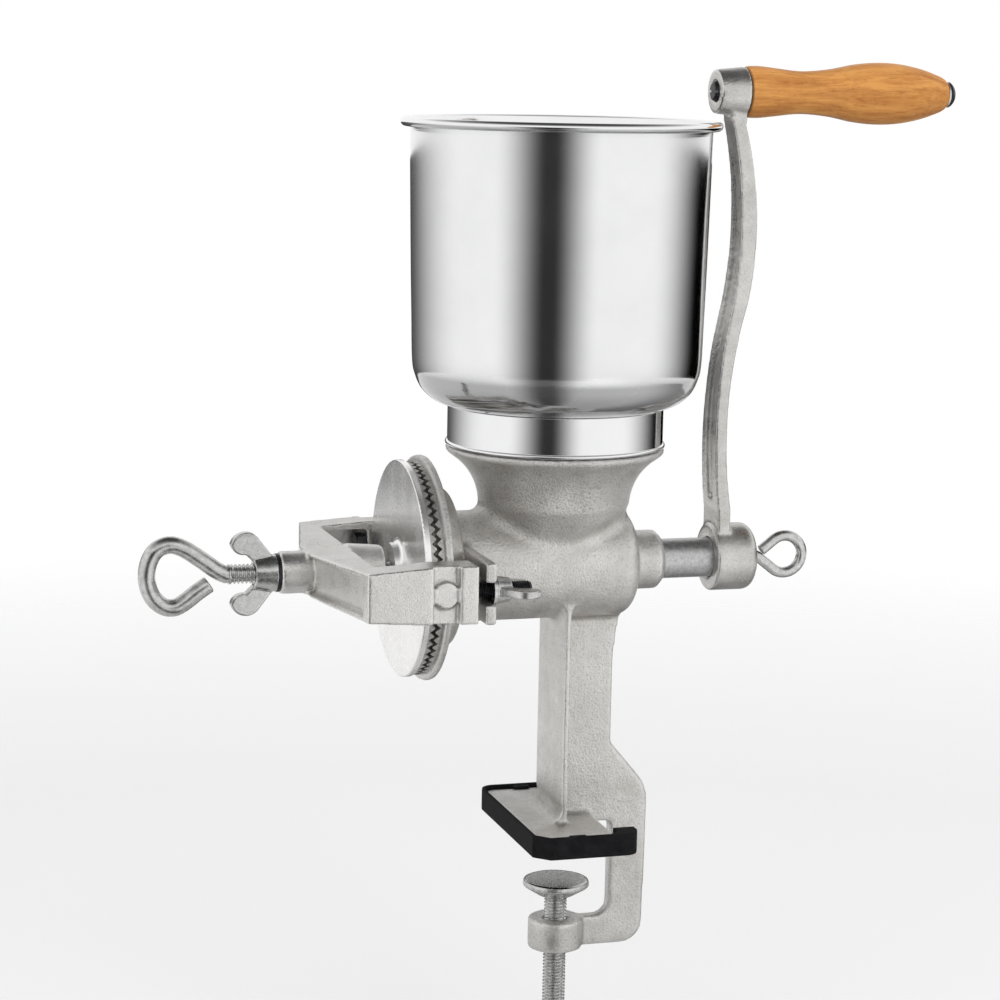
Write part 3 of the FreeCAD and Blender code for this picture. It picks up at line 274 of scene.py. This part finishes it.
def turnedIron(name):
    def build(g):
        rings = (g.fromShaft() * lathe["rings"]).sine()
        clouds = g.clouds(lathe["cloud"], 4, 0.55)
        stain = g.clouds(lathe["stainSize"], 3, 0.6)
        body = g.mixed(clouds.between(0.35, 0.65), lathe["dull"], lathe["pale"])
        body = g.mixed(stain.between(0.4, 0.28) * 0.2, body, lathe["stain"])
        return {
            "Base Color": body,
            "Metallic": lathe["metallic"],
            "Roughness": (lathe["rough"] + (clouds - 0.5) * 0.14 + (stain - 0.5) * 0.06).between(0, 1),
            "Normal": g.bumped(rings, 0.2, 0.012, g.bumped(g.clouds(lathe["swell"], 2), 0.15, 0.12)),
        }
    return finished(name, build)


# Polished sheet, smeared by hands and wiped upright, with a painted dark reflection where it faces down
polish = {
    "dull": (0.84, 0.84, 0.845), "pale": (0.89, 0.89, 0.893), "under": (0.22, 0.22, 0.225),
    "smear": 30, "wipe": 2, "swell": 60, "rough": 0.09,
}


def polishedSteel(name):
    def build(g):
        smear = g.clouds(polish["smear"], 4, 0.6)
        wipes = g.clouds(polish["wipe"], 2, 0.5, (1, 1, 14))
        facing = g.part(g.node("ShaderNodeNewGeometry", output="Normal"), "Z")
        under = (0 - facing).eased(-0.02, 0.3)
        body = g.mixed(smear.between(0.3, 0.7), polish["dull"], polish["pale"])
        return {
            # A painted dark reflection darkens the sheet where it faces down
            "Base Color": g.mixed(under * 0.6, body, polish["under"]),
            "Metallic": 1.0,
            "Roughness": polish["rough"] + smear.between(0.4, 0.8) * 0.04,
            "Normal": g.bumped(wipes, 0.015, 0.05, g.bumped(g.clouds(polish["swell"], 1), 0.1, 0.1)),
        }
    return finished(name, build)


# Steel and iron with a coat of zinc or oil: the sheen clouds over, and fine scratches cross it
metalFinish = {
    "plated_steel": {
        "light": (0.66, 0.66, 0.65), "dark": (0.46, 0.46, 0.45),
        "metallic": 1.0, "rough": 0.24, "cloud": 2.6,
    },
    "ground_steel": {
        "light": (0.60, 0.60, 0.60), "dark": (0.42, 0.42, 0.42),
        "metallic": 1.0, "rough": 0.36, "cloud": 1.6,
    },
    "blued_steel": {
        "light": (0.045, 0.045, 0.05), "dark": (0.012, 0.012, 0.014),
        "metallic": 0.7, "rough": 0.33, "cloud": 1.8,
    },
    "burr_iron": {
        "light": (0.62, 0.61, 0.59), "dark": (0.34, 0.33, 0.31),
        "metallic": 0.9, "rough": 0.42, "cloud": 1.1,
    },
}
coat = {"dustSize": 0.3, "markSize": 0.5}


def coatedMetal(name):
    c = metalFinish[name]

    def build(g):
        cloud = g.clouds(c["cloud"], 4, 0.6)
        dust = g.clouds(coat["dustSize"], 2)
        marks = g.clouds(coat["markSize"], 2, 0.5, (1, 8, 1))
        return {
            "Base Color": g.mixed(cloud.between(0.32, 0.62), c["dark"], c["light"]),
            "Metallic": c["metallic"],
            "Roughness": (c["rough"] + (cloud - 0.5) * 0.3 + (dust - 0.5) * 0.08).between(0, 1),
            "Normal": g.bumped(marks + dust * 0.4, 0.25, 0.03, g.bumped(cloud, 0.3, 0.08)),
        }
    return finished(name, build)


# Beech under a clear varnish, its grain along the grip with a faint curl across the belly
wood = {
    "light": (0.70, 0.325, 0.09), "dark": (0.42, 0.155, 0.038),
    "pore": (0.17, 0.06, 0.02), "curl": (0.74, 0.42, 0.15),
    "ringSize": 6.5, "curlSize": 2.4, "poreSize": 0.42, "fibreSize": 0.9, "rough": 0.42,
}


def varnishedWood(name):
    def build(g):
        rings = g.clouds(wood["ringSize"], 3, 0.55, (7, 1, 0.8), 0.6)
        curl = g.clouds(wood["curlSize"], 2, 0.5, (1.2, 2.6, 2.6), 0.5)
        pores = g.clouds(wood["poreSize"], 2, 0.5, (12, 1, 1))
        fibre = g.clouds(wood["fibreSize"], 3, 0.6, (16, 1, 1))
        body = g.mixed((rings * 0.65 + fibre * 0.35).between(0.36, 0.62), wood["dark"], wood["light"])
        body = g.mixed(curl.between(0.45, 0.8) * 0.16, body, wood["curl"])
        body = g.mixed(pores.between(0.36, 0.24) * 0.7, body, wood["pore"])
        return {
            "Base Color": body,
            "Roughness": (wood["rough"] + (fibre - 0.5) * 0.2).between(0, 1),
            "Specular IOR Level": 0.1,
            "Coat Weight": 0.12,
            "Coat Roughness": 0.16,
            "Normal": g.bumped(fibre + pores * 0.5, 0.2, 0.05),
        }
    return finished(name, build)


# Rubber, matt and a little uneven
rubber = {
    "deep": (0.006, 0.006, 0.007), "worn": (0.014, 0.014, 0.015), "cloud": 5, "grain": 0.5, "rough": 0.68,
}


def mattRubber(name):
    def build(g):
        cloud = g.clouds(rubber["cloud"], 4, 0.6)
        grain = g.clouds(rubber["grain"], 3, 0.6)
        return {
            "Base Color": g.mixed(cloud.between(0.35, 0.7), rubber["deep"], rubber["worn"]),
            "Roughness": (rubber["rough"] + (cloud - 0.5) * 0.3).between(0, 1),
            "Specular IOR Level": 0.08,
            "Normal": g.bumped(grain, 0.4, 0.06),
        }
    return finished(name, build)


finishes = {
    "casting": tinnedCasting("tinned_casting"),
    "machined_casting": turnedIron("turned_casting"),
    "burr_iron": coatedMetal("burr_iron"),
    "polished_steel": polishedSteel("polished_steel"),
    "bright_steel": coatedMetal("plated_steel"),
    "ground_steel": coatedMetal("ground_steel"),
    "black_steel": coatedMetal("blued_steel"),
    "varnished_wood": varnishedWood("varnished_wood"),
    "black_rubber": mattRubber("black_rubber"),
}
smoothCasting = tinnedCasting("smooth_casting")
crankIron = tinnedCasting("crank_iron")
for name, node in nodes.items():
    node.data.materials.clear()
    node.data.materials.append(finishes[slotOf[name]])
print("finishes made")


# A stand-in for a node, on its body, with the finish of its material slot unless it has one of its own
def dressed(name, mesh, node, finish=None):
    slot = slotOf[node]
    piece = linked(name, mesh)
    mesh.materials.clear()
    mesh.materials.append(finish or finishes[slot])
    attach(piece, bodyOf[node])
    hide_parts(node)
    return piece


# A cast piece: the node's own form with its edges and inner corners rounded as the mould leaves them
def castSkin(name, node, grain, passes, finish):
    copy = linked("draft", nodes[node].data.copy())
    remesh = copy.modifiers.new("remesh", "REMESH")
    remesh.mode = "VOXEL"
    remesh.voxel_size = grain * mm
    smooth = copy.modifiers.new("smooth", "SMOOTH")
    smooth.factor = 0.5
    smooth.iterations = passes
    mesh = bpy.data.meshes.new_from_object(copy.evaluated_get(bpy.context.evaluated_depsgraph_get()))
    bpy.data.objects.remove(copy)
    mesh.shade_smooth()
    return dressed(name, mesh, node, finish)


# A smooth line through flat points, with this many steps between two of them
def smoothLine(points, steps):
    points = [Vector(p).to_3d() for p in points]
    ends = [2 * points[0] - points[1], *points, 2 * points[-1] - points[-2]]
    line = []
    for before, here, there, after in zip(ends, ends[1:], ends[2:], ends[3:]):
        for i in range(steps):
            t = i / steps
            bend = 2 * before - 5 * here + 4 * there - after
            twist = 3 * here - before - 3 * there + after
            line.append(0.5 * (2 * here + (there - before) * t + bend * t ** 2 + twist * t ** 3))
    line.append(points[-1])
    return [(p.x, p.y) for p in line]


def arc(x, y, radius, start, end, steps):
    angles = [math.radians(start + (end - start) * i / steps) for i in range(steps + 1)]
    return [(x + radius * math.cos(a), y + radius * math.sin(a)) for a in angles]


# The points that cut the way between two points into five, without the two
def onTheWay(first, last, steps=5):
    return [tuple((a * (steps - i) + b * i) / steps for a, b in zip(first, last)) for i in range(1, steps)]


# A form turned round Z from points (radius, height). The shape may change the radius with height and angle
def turned(profile, matrix, sides, closed=False, shape=None):
    vertices, faces = [], []
    for radius, height in profile:
        for k in range(sides):
            a = 2 * math.pi * k / sides
            r = shape(radius, height, a) if shape else radius
            vertices.append(matrix @ Vector((r * math.cos(a), r * math.sin(a), height)))
    rows = len(profile)
    for i in range(rows if closed else rows - 1):
        row, nextRow = i * sides, (i + 1) % rows * sides
        for k in range(sides):
            following = (k + 1) % sides
            faces.append((row + k, row + following, nextRow + following, nextRow + k))
    if not closed:
        faces.append(tuple(reversed(range(sides))))
        faces.append(tuple((rows - 1) * sides + k for k in range(sides)))
    return vertices, faces


# A round rod along a line of points, its ends rounded off
def bentRod(line, radius, matrix, sides=36, rounding=0.9, roundingSteps=5):
    line = [Vector(p) for p in line]
    across = Vector((0, 1, 0))
    rings = []
    for i, here in enumerate(line):
        way = (line[min(i + 1, len(line) - 1)] - line[max(i - 1, 0)]).normalized()
        across = (across - way * across.dot(way)).normalized()
        rings.append((here, way, across.copy(), radius))
    for end, sign in ((0, -1), (-1, 1)):
        here, way, side, size = rings[end]
        tips = []
        for k in range(1, roundingSteps + 1):
            a = math.pi / 2 * k / roundingSteps
            outwards = way * sign * rounding * math.sin(a)
            tips.append((here + outwards, way, side, size - rounding * (1 - math.cos(a))))
        rings = list(reversed(tips)) + rings if end == 0 else rings + tips
    vertices, faces = [], []
    for here, way, side, size in rings:
        up = way.cross(side)
        for k in range(sides):
            a = 2 * math.pi * k / sides
            vertices.append(matrix @ (here + (side * math.cos(a) + up * math.sin(a)) * size))
    for i in range(len(rings) - 1):
        row, nextRow = i * sides, (i + 1) * sides
        for k in range(sides):
            following = (k + 1) % sides
            faces.append((row + k, nextRow + k, nextRow + following, row + following))
    faces.append(tuple(range(sides)))
    faces.append(tuple((len(rings) - 1) * sides + k for k in reversed(range(sides))))
    return vertices, faces


# One mesh of several forms, sharp where two faces meet at more than this angle
def meshOf(*forms, sharp=38):
    vertices, faces = [], []
    for points, sides in forms:
        faces += [tuple(len(vertices) + i for i in side) for side in sides]
        vertices += points
    mesh = bpy.data.meshes.new("form")
    mesh.from_pydata(vertices, [], faces)
    form = bmesh.new()
    form.from_mesh(mesh)
    bmesh.ops.recalc_face_normals(form, faces=form.faces)
    form.to_mesh(mesh)
    form.free()
    mesh.shade_smooth()
    mesh.set_sharp_from_angle(angle=math.radians(sharp))
    return mesh


# A right hand thread: its depth as a share of its pitch, how steep its flanks are (over 1 leaves a flat
# floor between them), the steps of its mesh and the bevel at its tip
threadForm = {"depth": 0.6, "steep": 1.25, "stepsPerTurn": 8, "bevel": 0.9}


# The radius of a thread that runs from low to high and fades out over a turn at its ends
def thread(pitch, low, high):
    depth = threadForm["depth"] * pitch

    def shape(radius, height, angle):
        turnShare = (height / pitch - angle / (2 * math.pi)) % 1
        valley = 1 - abs(2 * turnShare - 1)
        fade = min(max((height - low) / pitch, 0), max((high - height) / pitch, 0), 1)
        return radius - depth * min(valley * threadForm["steep"], 1) * fade
    return shape


# A threaded shank up from its bevelled tip
def shank(radius, low, high, pitch, matrix, sides):
    bevel = threadForm["bevel"]
    start = low + bevel
    steps = int((high - start) / pitch * threadForm["stepsPerTurn"])
    line = [(radius - bevel, low), (radius - bevel / 2, low + bevel * 0.4)]
    line += [(radius, start + (high - start) * i / steps) for i in range(steps + 1)]
    return turned(line, matrix, sides, shape=thread(pitch, low, high))


# Castings, with the grain of their skin in millimetres, how often it is smoothed and a finish of their own
skins = (
    ("body_casting", "mill_body", 1.2, 3, None),
    ("yoke_casting", "yoke", 0.75, 9, smoothCasting),
    ("crank_casting", "crank_arm", 0.75, 8, crankIron),
    ("lock_wing_nut", "lock_nut", 0.4, 5, None),
    ("front_wing_nut", "yoke_nut_front", 0.4, 5, None),
    ("rear_wing_nut", "yoke_nut_rear", 0.4, 5, None),
    ("rubber_foot", "foot_pad", 0.6, 3, None),
    ("clamp_cup_skin", "clamp_pad", 0.6, 3, None),
)
for name, node, grain, passes, finish in skins:
    piece = castSkin(name, node, grain, passes, finish)
    print(name, len(piece.data.polygons), "faces")

# Hopper: the bowl's sheet and the collar's, as points (radius, height)
bowl = {
    "neckRadius": 52.95, "neckFoot": 69.5, "foot": 80.8, "wall": 0.8,
    "outside": [(53.55, 80.8), (57, 81.25), (62.5, 83.9), (67.5, 88.5), (70.5, 94.6), (72.1, 102.5),
                (72.75, 125), (73.4, 150), (74.1, 185), (74.6, 212), (74.72, 216.6)],
    "bead": {"radius": 2.35, "reach": 77.05, "height": 219.85},
    "lip": [(75.2, 222.0), (74.3, 221.5), (73.93, 220.4)],
    "inside": [(73.93, 216), (73.3, 185), (72.6, 150), (71.95, 125), (71.3, 102.5), (69.7, 95),
               (66.9, 89.1), (62.2, 84.8), (56.8, 82.1), (53.2, 81.3), (52.15, 80.4)],
}
collar = {
    "foot": [(48.65, 57.2), (49.65, 57.2), (49.65, 60.35), (53.4, 60.35)],
    "bead": {"radius": 1.1, "reach": 54.0, "height": 61.45},
    "side": [(54.0, 63.2), (54.0, 79.9)],
    "lip": {"radius": 0.5, "reach": 53.5, "height": 80.0},
    "inside": [(53.0, 61.35), (48.65, 61.35)],
}
hopperSides = 256


def bead(b, start, end, steps):
    return arc(b["reach"], b["height"], b["radius"], start, end, steps)


def makeBowl():
    b = bowl
    sheet = [(b["neckRadius"], b["neckFoot"]), (b["neckRadius"], b["foot"] - 0.5)]
    sheet += smoothLine(b["outside"], 8) + bead(b["bead"], 205, 450, 40) + b["lip"]
    sheet += smoothLine(b["inside"], 8) + [(b["neckRadius"] - b["wall"], b["neckFoot"])]
    return meshOf(turned(sheet, placed("Z"), hopperSides, closed=True))


def makeCollar():
    c = collar
    sheet = c["foot"] + bead(c["bead"], -90, 90, 12) + c["side"] + bead(c["lip"], 0, 180, 8) + c["inside"]
    return meshOf(turned(sheet, placed("Z"), hopperSides, closed=True))


dressed("hopper_shell", makeBowl(), "hopper_bowl")
dressed("collar_band", makeCollar(), "hopper_collar")

# Grip, round its own axis over the shaft: (radius, distance from the hopper axis)
grip = {
    "axis": 236.5,
    "bore": 3.1,
    "line": [(12.0, 96.3), (12.6, 96.7), (12.9, 99), (12.85, 104), (12.0, 112), (10.9, 122),
             (10.8, 130), (12.0, 142), (14.5, 155), (15.55, 167), (15.1, 179), (12.9, 191),
             (9.9, 200.4), (8.3, 204.0), (7.2, 205.2), (6.4, 205.5)],
}


def makeGrip():
    low, high = grip["line"][0][1], grip["line"][-1][1]
    bore = [(grip["bore"], high), (grip["bore"], low)]
    return meshOf(turned(smoothLine(grip["line"], 8) + bore, placed("X", z=grip["axis"]), 128, closed=True))


dressed("turned_grip", makeGrip(), "handle_grip")

# Screws that end in an eye: where the tip lies, the radius of the thread and of the wire, and its pitch. A
# teardrop loop has its bend at the neck, its radius and how far out its middle lies, the other its own path
eyes = {
    "adjusting_eye": {
        "node": "adjusting_screw", "axis": "-X", "x": 0,
        "tip": 87.05, "thread": 5, "wire": 4.25, "pitch": 2,
        "path": [(0, 167.5), (2.4, 172), (8.2, 180), (13.6, 188.2), (15.55, 195), (12.9, 201.5),
                 (6.2, 205.2), (-2, 205.85), (-9.9, 203.1), (-14.7, 197.8), (-15.4, 192),
                 (-12.4, 186.5), (-8.6, 181.6), (-4.8, 176)],
    },
    "crank_eye": {
        "node": "crank_screw", "axis": "X", "x": 0,
        "tip": 82, "thread": 3, "wire": 2.75, "pitch": 1,
        "bend": 5, "loop": 9.7, "reach": 126.2,
    },
    "clamp_eye": {
        "node": "clamp_screw", "axis": "-Z", "x": 6,
        "tip": 174.05, "thread": 6, "wire": 4.25, "pitch": 1.75,
        "bend": 8, "loop": 14, "reach": 264.04,
    },
}
teardrop = {"halfAngle": 38, "tailGap": 0.8, "neck": 2.5}
pathNeck = 1.5


# The middle of a teardrop's wire, and where the thread ends before it
def teardropLine(e):
    half = math.radians(teardrop["halfAngle"])
    sine, cosine = math.sin(half), math.cos(half)
    apex = e["reach"] - e["loop"] / sine
    tail = (e["wire"] * (1 + math.cos(2 * half)) + teardrop["tailGap"]) / math.sin(2 * half)
    neck = apex - e["bend"] * math.tan(half / 2)
    bend = arc(e["bend"], neck, e["bend"], 180, 180 - teardrop["halfAngle"], 12)
    loop = arc(0, e["reach"], e["loop"], -teardrop["halfAngle"], 180 + teardrop["halfAngle"], 64)
    end = (-tail * sine, apex + tail * cosine)
    line = bend + onTheWay(bend[-1], loop[0]) + loop + onTheWay(loop[-1], end) + [end]
    return line, neck - teardrop["neck"]


def makeEye(e):
    if "path" in e:
        line, threadEnd = smoothLine(e["path"], 6), e["path"][0][1] - pathNeck
    else:
        line, threadEnd = teardropLine(e)
    line = [(0, threadEnd - 1), (0, threadEnd), *line]
    matrix = placed(e["axis"], e["x"])
    rod = bentRod([(x, 0, z) for x, z in line], e["wire"], matrix)
    return meshOf(rod, shank(e["thread"], e["tip"], threadEnd, e["pitch"], matrix, 44), sharp=50)


for name, e in eyes.items():
    dressed(name, makeEye(e), e["node"])

# Hexagon bolts of the yoke, measured from the hopper axis towards their heads, each turned by its own angle
bolt = {
    "tip": 31, "face": 82, "head": 87.3, "across": 13, "thread": 4, "pitch": 1.25, "aside": 62.5,
    "bevel": 1.1, "ease": 0.1, "crown": 0.35, "slope": 1.5, "turnedBy": {1: 35, -1: 12},
}


# A head is turned wide, and its shape cuts the hexagon and the crown out of it
def makeBolts():
    b = bolt
    wide, half = b["across"], b["across"] / 2
    forms = []
    for side in (1, -1):
        matrix = placed("-X", y=side * b["aside"])

        def hexagon(radius, height, angle):
            sector = (angle + math.radians(b["turnedBy"][side])) % (math.pi / 3) - math.pi / 6
            crown = half - b["crown"] + (b["head"] - height) * b["slope"]
            return min(half / math.cos(sector) - b["ease"], crown, radius)
        bevel = [(wide, b["head"] - b["bevel"] * i / 6) for i in range(6, -1, -1)]
        head = [(half - b["ease"], b["face"]), (wide, b["face"] + 0.3), *bevel]
        forms.append(turned(head, matrix, 120, shape=hexagon))
        forms.append(shank(b["thread"], b["tip"], b["face"], b["pitch"], matrix, 40))
    return meshOf(*forms, sharp=25)


dressed("side_bolts", makeBolts(), "yoke_bolts")
print("pieces made")

# Studio, in metres and degrees. The camera is where the photographer stood
cameraFit = {"place": (-0.4314, -1.3062, 0.3969), "yaw": 16.92, "pitch": 9.322, "roll": 1.10, "lens": 99.58}

# The floor lies low enough for the clamp screw at the end of its travel
floorShape = {"drop": 0.0105, "reach": 1.6, "fade": 0.7, "colour": 0.92, "bounce": 0.5}
floorHeight = min(corner[2] for corner in cadBox) - floorShape["drop"]


# 1 for what the camera sees, itself or in a mirror, and 0 for light on its way
def shownDirectly(g):
    camera = g.node("ShaderNodeLightPath", output="Is Camera Ray")
    glossy = g.node("ShaderNodeLightPath", output="Is Glossy Ray")
    through = g.node("ShaderNodeLightPath", output="Is Transmission Ray")
    return camera.atLeast(glossy).atLeast(through)


# A piece of the studio, with the shader that its function makes
def staged(name, mesh, surfaceOf):
    material = bpy.data.materials.new(name)
    g = Graph(material)
    g.node("ShaderNodeOutputMaterial", {}, {"Surface": surfaceOf(g)})
    mesh.materials.append(material)
    piece = linked(name, mesh)
    return piece


# A flat round card or floor at a height
def makeDisc(name, height, reach, surfaceOf):
    rings, sides = 24, 96
    vertices = [(0, 0, height)]
    faces = []
    for i in range(1, rings + 1):
        for k in range(sides):
            a = 2 * math.pi * k / sides
            radius = reach * i / rings
            vertices.append((radius * math.cos(a), radius * math.sin(a), height))
    for k in range(sides):
        faces.append((0, 1 + k, 1 + (k + 1) % sides))
    for i in range(rings - 1):
        for k in range(sides):
            a, b = 1 + i * sides + k, 1 + i * sides + (k + 1) % sides
            faces.append((a, a + sides, b + sides, b))
    mesh = bpy.data.meshes.new(name)
    mesh.from_pydata(vertices, [], faces)
    return staged(name, mesh, surfaceOf)


# Distance in metres from the upright line through the origin
def fromMiddle(g):
    return g.vector("LENGTH", g.vector("MULTIPLY", g.place(), (1, 1, 0)), output="Value")


def makeFloor():
    f = floorShape

    def paper(g):
        pale = g.node("ShaderNodeBsdfDiffuse", {}, {"Color": (f["colour"],) * 3})
        dim = g.node("ShaderNodeBsdfDiffuse", {}, {"Color": (f["bounce"],) * 3})
        seen = g.blended(shownDirectly(g), dim, pale)
        clear = g.node("ShaderNodeBsdfTransparent")
        return g.blended(fromMiddle(g).between(f["fade"], f["reach"]), seen, clear)
    makeDisc("floor", floorHeight, f["reach"], paper)


# Light of the white room: full where it is seen, less on its way to the mill and least from below, with a
# soft change between the last two heights
room = {"seen": 1.0, "above": 0.85, "below": 0.25, "from": -0.3, "to": 0.25}


def makeWorld():
    world = bpy.data.worlds.new("studio_world")
    bpy.context.scene.world = world
    g = Graph(world)
    seen, above, below = (g.node("ShaderNodeBackground", {}, {"Color": (1, 1, 1), "Strength": room[key]})
                          for key in ("seen", "above", "below"))
    height = g.part(g.node("ShaderNodeTexCoord", output="Generated"), "Z")
    level = g.blended(height.eased(room["from"], room["to"]), below, above)
    g.node("ShaderNodeOutputWorld", {}, {"Surface": g.blended(shownDirectly(g), level, seen)})


# Dark pieces of the studio that only reflections see
def onlyReflected(card):
    card.visible_camera = False
    card.visible_diffuse = False
    card.visible_shadow = False
    card.visible_transmission = False


def darkened(g, cover):
    black = g.node("ShaderNodeEmission", {}, {"Color": (0, 0, 0), "Strength": 0.0})
    return g.blended(cover, g.node("ShaderNodeBsdfTransparent"), black)


# Round cards, dark to their core and clear at their reach
cards = {
    "card_under": {"height": floorHeight + 0.0008, "reach": 0.8, "core": 0.1, "darkness": 0.35},
    "card_over": {"height": 1.5, "reach": 2.3, "core": 0.4, "darkness": 0.95},
}


def makeCard(name):
    c = cards[name]

    def shade(g):
        return darkened(g, (1 - fromMiddle(g).eased(c["core"], c["reach"])) * c["darkness"])
    onlyReflected(makeDisc(name, c["height"], c["reach"], shade))


# Strips of a circle round the hopper, in degrees from the camera and soft at their two sides: upright
# flags, and aprons that lie just over the floor and begin near the mill
flagReach = 1.0
flags = {
    "flag_front": {
        "start": -51, "end": 30, "softStart": 40, "softEnd": 35,
        "darkness": 0.97, "low": -0.06, "high": 0.45,
    },
    "flag_low": {
        "start": -46, "end": 24, "softStart": 34, "softEnd": 30,
        "darkness": 0.85, "low": -0.15, "high": -0.06,
    },
    "apron_front": {
        "start": -44, "end": 22, "softStart": 32, "softEnd": 28,
        "darkness": 0.85, "low": -0.15, "high": -0.15, "near": 0.12,
    },
    "apron_right": {
        "start": 72, "end": 205, "softStart": 58, "softEnd": 20,
        "darkness": 0.6, "low": -0.15, "high": -0.15, "near": 0.12,
    },
    "flag_right": {
        "start": 72, "end": 205, "softStart": 58, "softEnd": 20,
        "darkness": 1.0, "low": 0.0, "high": 0.3,
    },
    "flag_left": {
        "start": -205, "end": -77, "softStart": 20, "softEnd": 80,
        "darkness": 0.9, "low": 0.0, "high": 0.3,
    },
}


def makeFlag(name, steps=48):
    f = flags[name]
    span = f["end"] - f["start"]
    vertices = []
    for i in range(steps + 1):
        a = math.radians(f["start"] + span * i / steps - 90 - cameraFit["yaw"])
        for height, away in ((f["low"], f.get("near", flagReach)), (f["high"], flagReach)):
            vertices.append((crossing.x + away * math.cos(a), away * math.sin(a), height))
    faces = [(2 * i, 2 * i + 2, 2 * i + 3, 2 * i + 1) for i in range(steps)]
    mesh = bpy.data.meshes.new(name)
    mesh.from_pydata(vertices, [], faces)
    uv = mesh.uv_layers.new(name="strip")
    for loop in mesh.loops:
        step, top = divmod(loop.vertex_index, 2)
        uv.data[loop.index].uv = (step / steps, top)

    def shade(g):
        across = g.part(g.node("ShaderNodeTexCoord", output="UV"), "X")
        fadeIn = across.eased(0, f["softStart"] / span)
        fadeOut = 1 - across.eased(1 - f["softEnd"] / span, 1)
        return darkened(g, fadeIn * fadeOut * f["darkness"])
    onlyReflected(staged(name, mesh, shade))


# Soft lamps for the wood, the rubber and the floor; the metal shows the room and its cards
lampAim = (0, 0, 0.15)
lamps = {
    "key": {"place": (0.55, -1.7, 0.45), "size": (1.1, 0.9), "power": 12},
    "fill": {"place": (-1.3, -1.1, 0.5), "size": (1.1, 0.9), "power": 4},
    "top": {"place": (0.1, 0.3, 1.9), "size": (1.4, 1.0), "power": 2},
}


def makeLamp(name):
    p = lamps[name]
    lamp = bpy.data.lights.new(name, "AREA")
    lamp.shape = "RECTANGLE"
    lamp.size, lamp.size_y = p["size"]
    lamp.energy = p["power"]
    holder = linked(name, lamp)
    holder.location = p["place"]
    holder.visible_glossy = False
    holder.rotation_euler = (Vector(lampAim) - Vector(p["place"])).to_track_quat("-Z", "Y").to_euler()


def makeCamera():
    c = cameraFit
    yaw, pitch, roll = (math.radians(c[key]) for key in ("yaw", "pitch", "roll"))
    forward = Vector((math.sin(yaw) * math.cos(pitch), math.cos(yaw) * math.cos(pitch), -math.sin(pitch)))
    level = Vector((math.cos(yaw), -math.sin(yaw), 0))
    down = forward.cross(level)
    right = math.cos(roll) * level - math.sin(roll) * down
    down = math.sin(roll) * level + math.cos(roll) * down
    camera = bpy.data.cameras.new("camera")
    camera.lens = c["lens"]
    camera.sensor_width = 36
    camera.clip_start = 0.05
    holder = linked("camera", camera)
    turn = Matrix((right, -down, -forward)).transposed().to_4x4()
    holder.matrix_world = Matrix.Translation(c["place"]) @ turn
    bpy.context.scene.camera = holder


makeFloor()
makeWorld()
for name in flags:
    makeFlag(name)
for name in cards:
    makeCard(name)
for name in lamps:
    makeLamp(name)
makeCamera()
bpy.context.scene.view_settings.view_transform = "Standard"
print("studio made")
